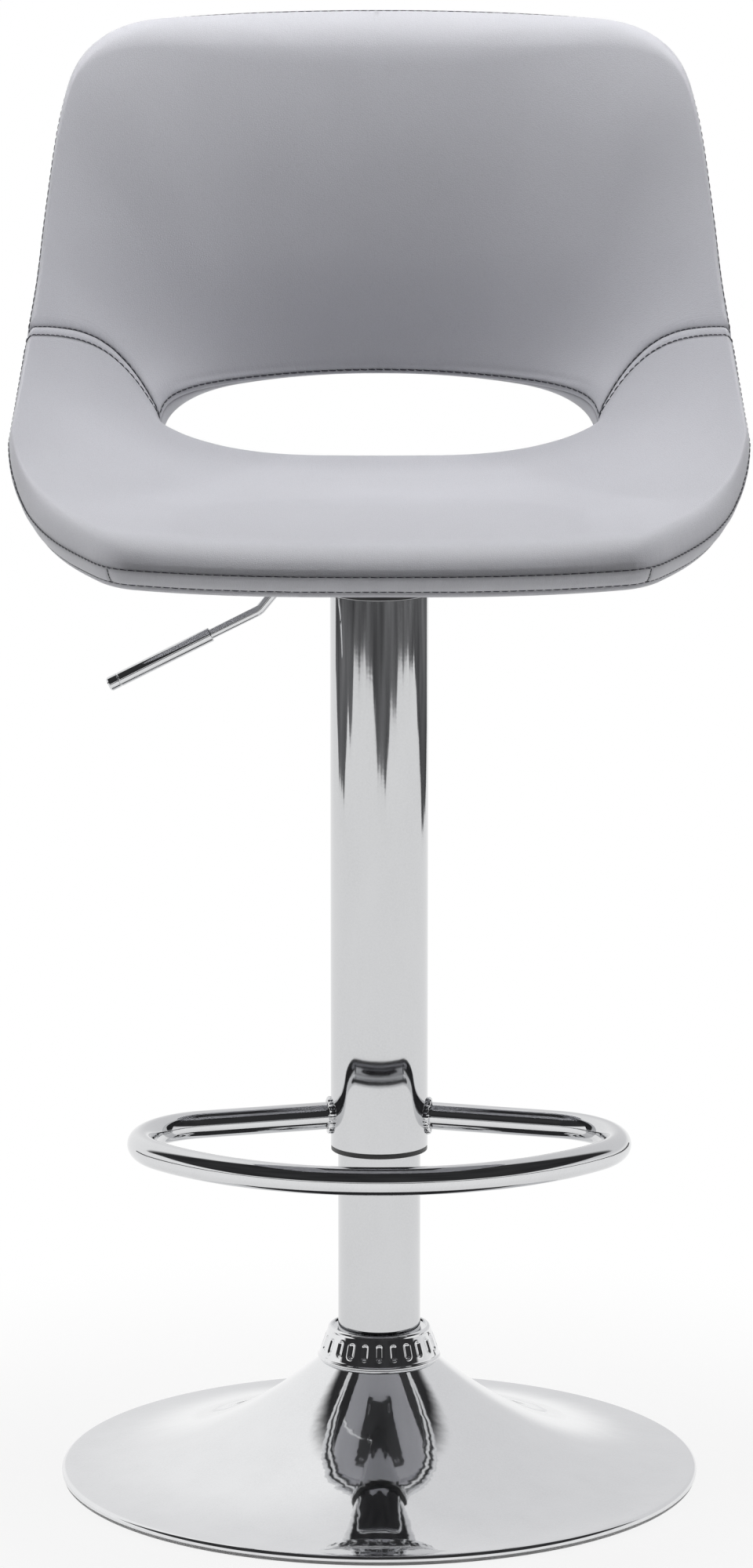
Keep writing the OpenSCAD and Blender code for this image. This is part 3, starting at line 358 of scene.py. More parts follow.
# The base cover: its radius, its rolled rim's radius and height, the height and radius of its neck, its thickness
BASE_R, RIM_R, RIM_H, FLARE_H, NECK_R, COVER_T = 198.0, 2.4, 6.0, 74.0, 36.0, 1.6
CROWDING = 1 / 1.3


def flare_r(shares):
    """The flare's radii at shares of its width, from the rim inwards."""
    return BASE_R - RIM_R + (NECK_R - BASE_R + RIM_R) * shares


def flare_z(r):
    return RIM_H + (FLARE_H - RIM_H) * (max(BASE_R - RIM_R - r, 0) / (BASE_R - RIM_R - NECK_R)) ** 2.1


skin = [(BASE_R - COVER_T, 2.4), (BASE_R - 0.5, 2.4), (BASE_R - 0.12, 2.55), (BASE_R, 2.9)]
skin += arc((BASE_R - RIM_R, RIM_H - RIM_R), RIM_R, 0, 90, 14)
skin += [(r, flare_z(r)) for r in flare_r(np.linspace(0, 1, 90)[1:] ** CROWDING)]
skin += [(NECK_R - COVER_T, FLARE_H)]
under = np.linspace(1, 0, 24)[1:] ** CROWDING
skin += [(r - s, flare_z(r) - COVER_T) for s, r in zip(under, flare_r(under))]
piece("base_shell", *lathe(skin, 288), "base", "chrome", ("base_cover",), sharp=40, mat=base_chrome)

# Ring under the rim, with a fine groove round its edge
ring = [(188.0, 0.3), (188.3, 0.0), (196.4, 0.0), (197.0, 0.5), (197.0, 1.1), (196.75, 1.3), (197.0, 1.5),
        (197.0, 2.35), (188.0, 2.35)]
piece("rim_ring", *lathe(ring, 240), "base", "ring_grey", ("floor_ring",), sharp=30)

# Collar: a bead at its foot, dimples round its wall and a sunken lip round the tube
COLLAR_Z = flare_z(36.6) + 0.05
COLLAR_TOP = COLLAR_Z + 21.0
DIMPLES, DIMPLE_R, DIMPLE_HALF, DIMPLE_DEPTH = 24, 1.95, 2.9, 0.95
foot = [(36.6, COLLAR_Z), (37.3, COLLAR_Z)] + arc((37.0, COLLAR_Z + 1.7), 1.2, -60, 62, 11)
foot += [(37.35, COLLAR_Z + 3.0), (37.15, COLLAR_Z + 3.4)]
wall_low, wall_high = np.array([37.1, COLLAR_Z + 3.7]), np.array([31.85, COLLAR_TOP - 2.1])
shares = np.linspace(0, 1, 44)
wall = [tuple(mix(wall_low, wall_high, t)) for t in shares]
lip = [(29.25, -0.15), (29.15, -0.5), (29.15, -1.9), (29.0, -2.0), (25.9, -2.0), (25.56, -2.3), (25.56, -8.8),
       (27.2, -9.0), (27.2, -3.8), (30.2, -3.8)]
top = arc((29.9, COLLAR_TOP - 2.0), 2.0, 18, 100, 10) + [(r, COLLAR_TOP + z) for r, z in lip]
steps = DIMPLES * 22
points, faces = lathe(foot + wall + top + [(35.8, COLLAR_Z + 3.4)], steps)
turn = (np.arange(steps) / steps * DIMPLES + 0.5) % 1 - 0.5
for j, (share, (r, _)) in enumerate(zip(shares, wall), len(foot)):
    along = abs(share - 0.5) * np.linalg.norm(wall_high - wall_low)
    far = np.hypot(turn * 2 * np.pi * r / DIMPLES, max(along - DIMPLE_HALF, 0)) / DIMPLE_R
    dent = DIMPLE_DEPTH * np.clip(1 - far ** 2, 0, 1) ** 0.7 - 0.16 * np.exp(-((far - 1.25) / 0.22) ** 2)
    points[:, j, :2] *= ((r - dent) / r)[:, None]
piece("collar_ring", points, faces, "base", "chrome", ("collar",), sharp=50, mat=base_chrome)


OUTER_R, WALL_T = 30.0, 1.5


def tube(name, part, body, r, edge):
    """A tube with rounded ends, as long as its CAD node."""
    low, high = (corner.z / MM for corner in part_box(part))
    outline = arc((r - edge, low + edge), edge, -90, 0, 6) + [(r, low + edge + 0.6), (r, high - edge - 0.6)]
    outline += arc((r - edge, high - edge), edge, 0, 90, 6) + [(r - WALL_T, high), (r - WALL_T, low)]
    piece(name, *lathe(outline, 224), body, "chrome", (part,), sharp=40, mat=tube_chrome)


tube("column_lower", "lower_tube", "base", 25.5, 0.5)
tube("column_outer", "outer_tube", "lift", OUTER_R, 0.6)

# ---------------------------------------------------------------- footrest

# The ring's height, half width, bar radius, corner radius and reach, and its arms' start and angle
RING_Z, RING_HALF, TUBE_R, BEND_R, REACH, ARM_Y, ARM_A = 228.0, 153.0, 8.5, 51.0, 168.0, 8.0, math.radians(16.7)
bend_x = RING_HALF - TUBE_R - BEND_R
arm_l = (bend_x + BEND_R * math.sin(ARM_A)) / math.cos(ARM_A)
bend_y = ARM_Y - arm_l * math.sin(ARM_A) - BEND_R * math.cos(ARM_A)
rise = bend_y + REACH
front_r = (bend_x ** 2 + rise ** 2 - BEND_R ** 2) / (2 * (rise - BEND_R))
front_y = front_r - REACH
front_a = math.atan2(bend_x, front_y - bend_y)
arm_way = np.array([math.cos(ARM_A), -math.sin(ARM_A)])
arm_root = np.array([0, ARM_Y])


def round_about(cx, cy, r, start, end, count):
    a = np.linspace(start, end, count)
    return np.stack([cx + r * np.cos(a), cy + r * np.sin(a)], -1)


def to_wall(flat, way, radius):
    """How far points go along way until they are at a radius from the column's axis."""
    dot = flat @ way
    return (np.sqrt(dot ** 2 - (flat ** 2).sum(1) + radius ** 2) - dot)[:, None] * way


right = arm_root + np.outer(np.hstack([33.0, np.linspace(36.5, arm_l, 22)]), arm_way)
right = np.vstack([right[:-1], round_about(bend_x, bend_y, BEND_R, math.pi / 2 - ARM_A, front_a - math.pi / 2, 56)])
front = round_about(0, front_y, front_r, front_a - math.pi / 2, -front_a - math.pi / 2, 90)[1:-1]
plan = np.vstack([right, front, right[::-1] * [-1, 1]])
points, faces = sweep(np.column_stack([plan, np.full(len(plan), RING_Z)]), TUBE_R, 48, (0, 0, 1))
points = points.reshape(len(plan), -1, 3)
for row, side in ((0, 1), (-1, -1)):
    # The ends are cut to the column's round wall
    points[row, :, :2] += to_wall(points[row, :, :2], arm_way * [side, 1], OUTER_R - 0.1)
piece("footrest_loop", points, faces, "lift", "chrome", ("footrest_ring",), sharp=50)

# Weld beads: rippled rings where the arms meet the column
RIPPLES, BEAD_SIDES, BEAD_R = 150, 18, 1.75
a = np.linspace(0, 2 * np.pi, RIPPLES, endpoint=False)
b = np.linspace(0, 2 * np.pi, BEAD_SIDES, endpoint=False)
lumps = 1 + 0.07 * np.sin(3 * b[None] + 9 * a[:, None]) + 0.05 * np.sin(5 * b[None] - 17 * a[:, None])
flat = arm_root + (TUBE_R + 1.0) * np.cos(a)[:, None] * [arm_way[1], -arm_way[0]]
flat = flat + to_wall(flat, arm_way, OUTER_R + 0.6)
for side, label in ((1, "left"), (-1, "right")):
    ripple = 0.34 * np.abs(np.sin(a * 14 + 0.8 * np.sin(a * 3))) + 0.28 * np.sin(a * 5 + side) + 0.15 * np.sin(a * 11)
    centre = np.column_stack([side * flat[:, 0], flat[:, 1], RING_Z + (TUBE_R + 1.0) * np.sin(a)])
    along = unit(np.gradient(np.vstack([centre[-1:], centre, centre[:1]]), axis=0)[1:-1])
    out = np.tile([side * arm_way[0], arm_way[1], 0], (RIPPLES, 1))
    out = unit(out - (out * along).sum(1)[:, None] * along)
    across = np.cross(along, out)
    points = centre[:, None] + ((BEAD_R + ripple)[:, None] * lumps)[..., None] * (
        np.cos(b)[None, :, None] * out[:, None] + np.sin(b)[None, :, None] * across[:, None])
    piece("weld_" + label, points, grid(RIPPLES, BEAD_SIDES, True, True, side > 0), "lift", "chrome",
          ("footrest_welds",) if side > 0 else (), sharp=60)

# ---------------------------------------------------------------- lever

LEVER_Z, LEVER_R, GRIP_R, GRIP_L = 569.5, 3.15, 4.5, 70.0
corner = [np.array([3.0, LEVER_Z]), np.array([-52.0, LEVER_Z])]
for length, slope in ((33, math.radians(50.5)), (103, math.radians(26.6))):
    corner.append(corner[-1] - length * np.array([math.cos(slope), math.sin(slope)]))


def rounded(corners, radius, count):
    """The corners' path with its bends rounded."""
    out = [corners[0]]
    for p, q, r in zip(corners, corners[1:], corners[2:]):
        a, b = unit(p - q), unit(r - q)
        half = math.acos(float(np.clip(a @ b, -1, 1))) / 2
        reach = radius / math.tan(half)
        centre = q + unit(a + b) * radius / math.sin(half)
        u, w = q + a * reach - centre, q + b * reach - centre
        sign = math.copysign(1, u[0] * w[1] - u[1] * w[0])
        for t in np.linspace(0, math.pi - 2 * half, count):
            c, s = math.cos(sign * t), math.sin(sign * t)
            out.append(centre + np.array([c * u[0] - s * u[1], s * u[0] + c * u[1]]))
    out.append(corners[-1])
    return np.array(out)


tip_way = unit(corner[3] - corner[2])
rod = rounded([*corner[:3], corner[3] - tip_way * 2.3], 9.0, 22)
rod = np.vstack([[[x, LEVER_Z] for x in (3.0, 2.8, 2.2)], rod[1:]])
radii = np.full(len(rod), LEVER_R)
radii[:2] -= [0.7, 0.25]
path = np.column_stack([rod[:, 0], np.zeros(len(rod)), rod[:, 1]])
piece("lever_bar", *sweep(path, radii, 40, (0, 1, 0)), "lever", "chrome", ("lever_rod",), sharp=45)

# Grip sleeve, turned: a crisp inner end, a groove and a chamfer at the outer end
stops = [(0.0, 3.30), (0.0, 4.15), (0.35, GRIP_R), (62.2, GRIP_R), (62.5, 4.28), (63.0, 4.28), (63.3, GRIP_R),
         (69.0, GRIP_R), (GRIP_L, 3.75), (GRIP_L, 0.02)]
start = corner[3] - tip_way * GRIP_L
origin, grip_way = np.array([start[0], 0, start[1]]), np.array([tip_way[0], 0, tip_way[1]])
grip_side = np.array([0, 1.0, 0])
cos, sin = circle(56)
ring = grip_side * cos[:, None] + np.cross(grip_way, grip_side) * sin[:, None]
points = np.array([origin + grip_way * s + ring * r for s, r in stops])
faces = grid(len(stops), len(ring), False, True, True)
faces += [tuple(range(len(ring))), tuple((len(stops) - 1) * len(ring) + k for k in range(len(ring) - 1, -1, -1))]
piece("lever_sleeve", points, faces, "lever", "chrome", ("lever_grip",), sharp=30)

# ---------------------------------------------------------------- the seat's surface

SEAT_H, SEAT_W, SEAT_L, FRONT, BACK_H = 609.0, 448.0, 448.0, 239.7, 287.0
# Stations from the seat's front to the back's top: the middle's place and height, the half width, and the edge's
# place and height, all as shares of the seat's size
ROWS = np.array([[a * SEAT_L - FRONT, SEAT_H + b * BACK_H, c * SEAT_W / 2, d * SEAT_L - FRONT, SEAT_H + e * BACK_H]
                 for a, b, c, d, e in (
    (0.000, 0.032, 0.920, 0.067, 0.053), (0.241, 0.014, 0.991, 0.228, 0.088), (0.504, 0.000, 1.000, 0.379, 0.143),
    (0.705, 0.007, 0.987, 0.513, 0.240), (0.839, 0.045, 0.969, 0.621, 0.351), (0.940, 0.198, 0.946, 0.692, 0.469),
    (0.964, 0.462, 0.924, 0.754, 0.615), (0.984, 0.740, 0.888, 0.817, 0.802), (1.000, 1.000, 0.826, 0.897, 1.000))])
ROWS = np.vstack([2 * ROWS[0] - ROWS[1], ROWS, 2 * ROWS[-1] - ROWS[-2]])


def station(v):
    """The stations' numbers at v, on a smooth curve through them."""
    v = np.asarray(v, float)
    i = np.clip(np.floor(v), 0, 7).astype(int)
    f = (v - i)[..., None]
    a, b, c, d = ROWS[i], ROWS[i + 1], ROWS[i + 2], ROWS[i + 3]
    return (2 * b + (c - a) * f + (2 * a - 5 * b + 4 * c - d) * f ** 2 + (3 * b - a - 3 * c + d) * f ** 3) / 2


def skin_at(u, v):
    """Points of the seat's surface, u from the middle, 0, to an edge, 1, and v from the front, 0, to the top, 8."""
    s, a = station(v), np.abs(u)
    return np.stack([s[..., 2] * u, s[..., 0] + (s[..., 3] - s[..., 0]) * a ** 2.2,
                     s[..., 1] + (s[..., 4] - s[..., 1]) * a ** 3], -1)


def depth_way(u, v):
    """The way into the seat from its surface."""
    t = skin_at(u, v + 0.05) - skin_at(u, v - 0.05)
    n = np.hypot(t[..., 1], t[..., 2])
    return np.stack([0 * n, t[..., 2] / n, -t[..., 1] / n], -1)


def quarter(power, count):
    """A quarter of a curve between an ellipse and a box."""
    w = np.linspace(0, np.pi / 2, count)
    return np.stack([np.abs(np.sin(w)) ** (2 / power), np.abs(np.cos(w)) ** (2 / power)], -1)


# The outline and the opening, as u and v on the surface. FINE sets how many points they have
FINE = 8
FLAT_U, TURN_V, FULL_V, TOP_V, HOLE_U, HOLE_V, CROSS_V = 0.70, 0.2, 2.45, 7.2, 0.63, 4.22, 4.11


def side_u(v):
    """The outline's u beside the seat's front, up to the full width."""
    return 1 - 0.24 * (1 - v / FULL_V) ** 1.35


k = np.linspace(0, 1, 5 * FINE + 1)
q = k[1:]
corner_q, side_v = quarter(3, 14 * FINE + 1)[::-1][1:], np.linspace(TURN_V, FULL_V, 14 * FINE + 1)[1:]
outline = np.vstack([np.stack(part, -1) for part in (
    (FLAT_U * k, 0 * k),
    ((1 - q) ** 2 * FLAT_U + 2 * q * (1 - q) * 0.757 + q * q * side_u(TURN_V), q * q * TURN_V),
    (side_u(side_v), side_v),
    (np.ones(20 * FINE), np.linspace(FULL_V, TOP_V, 20 * FINE + 1)[1:]),
    (mix(FLAT_U, 1, corner_q[:, 0]), mix(TOP_V, 8, corner_q[:, 1])),
    (FLAT_U * (1 - q), 0 * q + 8))])
hole_a, hole_b = quarter(5, 16 * FINE + 1), quarter(2.5, 16 * FINE + 1)[::-1][1:]
opening = np.vstack([np.stack([HOLE_U * q[:, 0], mix(HOLE_V, end, q[:, 1])], -1)
                     for q, end in ((hole_a, 4.05), (hole_b, 5.05))])


def lengths(curve, turn_l):
    """Running length along a curve on the surface, where each half turn counts as turn_l mm."""
    chord = np.diff(skin_at(curve[:, 0], curve[:, 1]), axis=0)
    way = unit(chord)
    turn = np.degrees(np.arccos(np.clip((way[1:] * way[:-1]).sum(1), -1, 1)))
    turn = np.concatenate([[0], turn, [0]])
    l = np.linalg.norm(chord, axis=1)
    return np.concatenate([[0], np.cumsum(l + turn_l * (turn[:-1] + turn[1:]) / 180)])


# The cross seam between seat and back divides both curves
outline_s, opening_s = lengths(outline, 120), lengths(opening, 20)
side_part = slice(24 * FINE, 44 * FINE)
outline_seam = np.interp(CROSS_V, outline[side_part, 1], outline_s[side_part])
opening_seam = opening_s[16 * FINE]


class Spokes:
    """Lines over the seat's surface from the opening to the outline, one for each share t."""

    def __init__(self, t, back):
        self.t, self.back = np.asarray(t, float), back
        t = self.t
        if back:
            hole, edge = mix(opening_seam + 0.3, opening_s[-1], t), mix(outline_seam + 0.3, outline_s[-1], t)
            self.arch, self.undercut = 0.60 * (1 - t) ** 6, 8 + 0 * t
            self.hole_cut = 14 * np.sin(np.pi / 2 * t)
            self.crown, self.droop = 3.2 + 7.0 * ease(t, 0.12, 0.62), 5.0 * ease(t, 0.0, 0.4)
        else:
            hole, edge = opening_seam * t, outline_seam * t
            self.arch, self.undercut, self.hole_cut = 0.60 * t ** 6, mix(21.0, 8.0, t), 0 * t
            self.crown, self.droop = 3.2 + 0 * t, 0 * t
        self.hole, self.edge = at_run(hole, opening_s, opening), at_run(edge, outline_s, outline)
        # Towards the sides of the seat its edge is rolled tighter, and its boxing is deeper
        v = self.edge[:, 1]
        side = ease(v, 0.15, 1.7)
        self.seam_h, self.belly = mix(28.2, 29.8, side), mix(34.0, 10.0, side)
        self.roll, self.seam_at = mix(27.0, 8.0, ease(v, 0.4, 2.0)), mix(0.7, 9.6, ease(v, 1.4, 3.0))
        if back:
            self.roll = 8.0 + 16.0 * ease(t, 0.3, 0.62) + 14.0 * ease(t, 0.5, 0.9)
            self.seam_at = mix(9.6, 0.7, ease(v, 6.6, 7.7))
        self.length = np.linalg.norm(skin_at(*self.edge.T) - skin_at(*self.hole.T), axis=1)
        self.inner, self.outer = 4.3 + self.hole_cut, self.length - self.undercut - 0.3

    def each(self, row):
        """The same row, or the same number, for every spoke."""
        return np.tile(row, (len(self.t), 1))

    def at(self, x, h):
        """Points at distances x along each spoke and depths h below the surface."""
        s = x / self.length[:, None]
        u = mix(self.hole[:, :1], self.edge[:, :1], s)
        v = mix(self.hole[:, 1:], self.edge[:, 1:], s) + self.arch[:, None] * 4 * s * (1 - s)
        return skin_at(u, v) + h[..., None] * depth_way(u, v)


# ---------------------------------------------------------------- pads

# Depths below the surface: the pads' underside and their seam at the opening, the cover's lining and its outside
PAD, HOLE_SEAM, COVER_TOP, COVER_OUT = 18.0, 9.0, 27.6, 34.0
# The radius of the pads' roll into the opening, and how far from that edge the back's stitches lie
HOLE_ROLL, HOLE_LINE = 10.0, 4.6
# The distance from a seam that points get which are near none
FAR = 30.0


def tuck(distance, depth, width):
    """How far leather is drawn in beside a seam."""
    return depth * np.exp(-(distance / width) ** 2)


def smooth_noise(x, y, seed):
    """A smooth, repeatable unevenness of about 1, over two running lengths."""
    rng = np.random.RandomState(seed)
    total = 0
    for _ in range(7):
        fx, fy, p, q = rng.uniform(0.6, 1.9), rng.uniform(0.3, 1.3), *rng.uniform(0, 6.28, 2)
        total += np.sin(x * fx + p + 0.7 * np.sin(y * fy + q)) * np.cos(y * fy * 0.7 + q)
    return total / 3.2


def second_stitch(share):
    """How far the second row of stitches runs from the cross seam, at a share of the way outwards."""
    return 8.6 * (1 - (1 - np.clip(share, 0, 1)) ** 2.4)


def pad_top(spokes):
    """The pad's upper points, how far each is from its nearest seam and from the cross seam, and its place along."""
    l, roll = spokes.length[:, None], spokes.roll[:, None]
    w, w2 = np.linspace(0, np.pi / 2, 15), np.linspace(0, math.radians(74), 21)
    t = np.linspace(0, 1, 24)[1:-1]
    out, down = np.sin(w2) / np.sin(w2[-1]), ((1 - np.cos(w2)) / (1 - np.cos(w2[-1]))) ** 1.2
    x = np.hstack([spokes.each(HOLE_ROLL * (1 - np.cos(w))), mix(HOLE_ROLL, l - roll, t[None]),
                   l - roll + roll * out[None]])
    h = np.hstack([HOLE_SEAM * (1 - np.sin(w)), 0 * t, PAD * down])
    h = h - spokes.crown[:, None] * np.sin(np.pi * np.clip(x / l, 0, 1))
    h = h + spokes.droop[:, None] * np.clip(1 - x / 46.0, 0, 1) ** 2 * np.clip(x / 6.0, 0, 1)
    # Inward direction of each point, in the plane of its section
    inward_x = np.hstack([np.cos(w) * 0.9, 0 * t, -np.sin(w2)])
    inward_h = np.hstack([np.sin(w), 1 + 0 * t, np.cos(w2)])
    top = spokes.at(x, h)
    from_hole = np.cumsum(np.linalg.norm(np.diff(top, axis=1, prepend=top[:, :1]), axis=2), 1)
    from_edge = from_hole[:, -1:] - from_hole
    to_cross = np.linalg.norm(top - (top[:1] if spokes.back else top[-1:]), axis=2)
    run = run_of(top[:, -1])[:, None]
    # The leather is drawn in at its seams, with small puckers along them, and rolls down into the cross seam
    off_line = np.abs(from_edge - spokes.seam_at[:, None])
    seed = 0 if spokes.back else 1
    inward = tuck(from_edge, 0.9, 1.9) + tuck(off_line, 0.8, 1.2) + tuck(from_hole, 0.8, 1.6)
    near = np.clip(1 - to_cross / 7.0, 0, 1)
    inward += 2.6 * (1 - np.sqrt(1 - near ** 2 * 0.999))
    puckers = smooth_noise(run / 2.6, from_edge / 5.0, 3 + seed)
    inward += 0.17 * puckers * np.exp(-(from_edge / 5.5) ** 2) * (from_edge > 0.2)
    beside = np.exp(-(to_cross / 16.0) ** 2) * np.clip(from_edge / 8, 0, 1) * np.clip(from_hole / 8, 0, 1)
    inward += 0.22 * smooth_noise(from_hole / 4.2, to_cross / 7.0, 11 + seed) * beside
    soft = smooth_noise(run / 34.0, from_edge / 38.0, 23 + seed)
    inward += 0.16 * soft * np.clip(from_edge / 20, 0, 1) * np.clip(from_hole / 16, 0, 1)
    if spokes.back:
        # The seam with the opening's boxing lies on the turn of the back's lower edge
        inward += tuck(from_hole - HOLE_LINE, 0.9, 1.0)
        from_hole = np.minimum(from_hole + 3.0, np.abs(from_hole - HOLE_LINE))
    else:
        away = second_stitch(x / l)
        inward += tuck(to_cross - away, 0.55, 1.5) * (away > 1.2)
    from_seam = np.minimum(np.minimum(from_hole, np.minimum(from_edge + 0.5, off_line)), to_cross)
    along = mix(run + 0 * x, from_hole, np.clip(1.5 - to_cross / 8, 0, 1))
    return spokes.at(x + inward * inward_x, h + inward * inward_h), from_seam, to_cross, along


def both_sides(right, whole, mirror=1):
    """The rows of one half and of its mirror image. whole says that they run through the middle at their start."""
    if whole:
        return np.concatenate([right[::-1] * mirror, right[1:]])
    return np.concatenate([right, right[-2::-1] * mirror])


def build_pad(name, spokes, slot, part):
    top, from_seam, to_cross, along = pad_top(spokes)
    # Underside, which rests on the plywood
    low_x = mix(spokes.inner[:, None], spokes.outer[:, None], np.linspace(1, 0, 14)[None])
    low_x = np.hstack([spokes.length[:, None] - 2.4, low_x, spokes.inner[:, None]])
    low_h = np.array([PAD] * 15 + [HOLE_SEAM + 0.6])
    rows = both_sides(np.hstack([top, spokes.at(low_x, low_h)]), not spokes.back, MIRROR)
    seam_mm = both_sides(np.hstack([from_seam, 0 * low_x + FAR]), not spokes.back)
    run_mm = both_sides(np.hstack([along, 0 * low_x]), not spokes.back, -1)
    m, c = rows.shape[:2]
    upper = top.shape[1]
    faces = grid(m, c, False, True, True)
    # Ends: strips between the upper points and the lower ones
    for row, turn in ((0, False), (m - 1, True)):
        up = [row * c + j for j in range(upper)]
        down = [row * c + j for j in range(c - 1, upper - 1, -1)]
        i = j = 0
        while i < len(up) - 1 or j < len(down) - 1:
            step_up = j == len(down) - 1 or (i < len(up) - 1 and i * (len(down) - 1) <= j * (len(up) - 1))
            tri = (up[i], up[i + 1], down[j]) if step_up else (up[i], down[j + 1], down[j])
            faces.append(tri if turn else tri[::-1])
            i, j = (i + 1, j) if step_up else (i, j + 1)
    obj = piece(name, rows, faces, "lift", slot, (part,), sharp=50, values={"seam_mm": seam_mm, "run_mm": run_mm})
    return obj, top, to_cross


def crowd(share, count=150, end_count=18):
    """Shares from 0 to 1 that lie closer together in the last share of the way."""
    return np.concatenate([np.linspace(0, 1 - share, count), np.linspace(1 - share, 1, end_count)[1:]])


seat_spokes = Spokes(crowd(0.026), False)
back_spokes = Spokes(1 - crowd(0.030)[::-1], True)
seat_cushion, seat_top, seat_to_cross = build_pad("seat_cushion", seat_spokes, "seat_leather", "seat_pad")
back_cushion, back_top, _ = build_pad("back_cushion", back_spokes, "back_leather", "back_pad")


# ---------------------------------------------------------------- cover and boxings

def all_round(make, mirror=1):
    """The closed ring of rows round the seat, where make(spokes) gives those of one half."""
    right = np.concatenate([make(seat_spokes), make(back_spokes)[1:]])
    return np.concatenate([right, right[-2:0:-1] * mirror])


def ring_of(section):
    """Rows of points round the seat and their distances from a seam. section gives x, h and distances on spokes."""
    return all_round(lambda s: s.at(*section(s)[:2]), MIRROR), all_round(lambda s: section(s)[2])


def ring_piece(name, rows, seam_mm, run, slot, part, sharp, flip=True):
    """A piece from a closed ring of rows, with the running length of its edge as its points' place along."""
    piece(name, rows, grid(len(rows), rows.shape[1], True, True, flip), "lift", slot, (part,), sharp=sharp,
          values={"seam_mm": seam_mm, "run_mm": np.tile(run[:, None], (1, rows.shape[1]))})


edge_run = run_of(all_round(lambda s: s.at(s.length[:, None], s.each(PAD)), MIRROR)[:, 0])
hole_run = run_of(all_round(lambda s: s.at(s.each(0.0), s.each(HOLE_SEAM)), MIRROR)[:, 0])

# Outer cover: the padded skin behind and under the shell
PLATE_TOP, LINING, COVER_IN = 576.5, 10, 29.9


def cover_section(s):
    a, b, belly, seam_h = s.inner[:, None], s.outer[:, None], s.belly[:, None], s.seam_h[:, None] + 0.15
    w = np.linspace(0, np.pi / 2, 12)
    edge_in = tuck(4.1 * np.sin(w), 0.9, 1.3)
    x = np.hstack([mix(a, b, np.linspace(0, 1, LINING)[None]), b - belly * (1 - np.cos(w)) - edge_in,
                   mix(b - belly, a + 5, np.linspace(0, 1, 26)[1:-1][None]),
                   a + 5 * (1 - np.sin(w)) + edge_in[::-1]])
    h = np.hstack([s.each(np.full(LINING, COVER_TOP)), seam_h + (COVER_OUT - seam_h) * np.sin(w),
                   s.each(np.full(24, COVER_OUT)), s.each(COVER_IN + (COVER_OUT - COVER_IN) * np.cos(w))])
    seam = np.minimum(np.abs(x - b), np.abs(x - a)) + (h - s.seam_h[:, None]).clip(0)
    seam[:, :LINING] = FAR
    return x, h, seam


rows, seam_mm = ring_of(cover_section)
outside = np.arange(rows.shape[1]) >= LINING
wide = smooth_noise(edge_run[:, None] / 40.0, seam_mm / 30.0, 41) * np.clip(seam_mm / 20, 0, 1)
# Where it would dip below the seat plate's top it lies flat on the plate
floor_z = PLATE_TOP + 0.3
soft = rows[..., 2] + np.log1p(np.exp((floor_z + 0.6 - rows[..., 2]) * 2.0)) / 2.0
rows[..., 2] = np.maximum(np.where(outside, soft, rows[..., 2]), floor_z)
rows[..., 1] += 0.25 * wide * (outside & (rows[..., 2] > 650))
ring_piece("outer_skin", rows, seam_mm, edge_run, "outer_leather", "outer_cover", 50)

# Boxing round the edge, between the pads and the outer cover, with a cross seam at each front corner
CROSS_X, BAND_TOP, BAND_H = 156.0, PAD + 0.3, 11.4


def cross_gap(s):
    """Each spoke's distance to the nearest front cross seam, along the edge."""
    if s.back:
        return s.each(90.0)
    edge = s.at(s.length[:, None], s.each(PAD))[:, 0]
    run = run_of(edge)
    front = slice(0, 120)
    return np.abs(run - np.interp(CROSS_X, edge[front, 0], run[front]))[:, None]


def band_section(s):
    q = np.linspace(0, 1, 17)
    drop, cut, gap = (s.seam_h - BAND_TOP)[:, None], s.undercut[:, None], cross_gap(s)
    size = np.hypot(cut, drop)
    push = 1.5 * np.sin(np.pi * q) ** 0.75 - tuck(q * size, 0.75, 1.3) - tuck((1 - q) * size, 0.75, 1.3)
    push -= tuck(gap, 1.0, 1.1)
    push += 0.24 * smooth_noise(gap / 5.5, q[None] * 1.3, 57) * np.sin(np.pi * q)[None]
    x = s.length[:, None] - cut * q[None] + push * drop / size
    h = BAND_TOP + drop * q[None] + push * cut / size
    back_x = s.length[:, None] - cut
    seam = np.minimum(np.minimum(q * size, (1 - q) * size), gap)
    return (np.hstack([x, back_x, back_x]), np.hstack([h, s.seam_h[:, None] - 0.5, s.each(BAND_TOP)]),
            np.hstack([seam, s.each([FAR, FAR])]))


ring_piece("edge_boxing", *ring_of(band_section), edge_run, "band_leather", "edge_band", 60)

# Boxing inside the opening
BOX_TOP, BOX_H = 9.3, 20.4


def hole_section(s):
    q = np.linspace(0, 1, 15)
    push = -0.7 * np.sin(np.pi * q) + tuck(q * BOX_H, 0.8, 1.4) + tuck((1 - q) * BOX_H, 0.8, 1.4)
    back_x = s.inner[:, None] - 0.3
    x = np.hstack([s.hole_cut[:, None] * q[None] + push[None], back_x, back_x])
    h = s.each(np.hstack([BOX_TOP + BOX_H * q, BOX_TOP + BOX_H, BOX_TOP]))
    return x, h, s.each(np.hstack([np.minimum(q, 1 - q) * BOX_H, FAR, FAR]))


ring_piece("opening_boxing", *ring_of(hole_section), hole_run, "band_leather", "hole_band", 60, False)


# ---------------------------------------------------------------- stitches

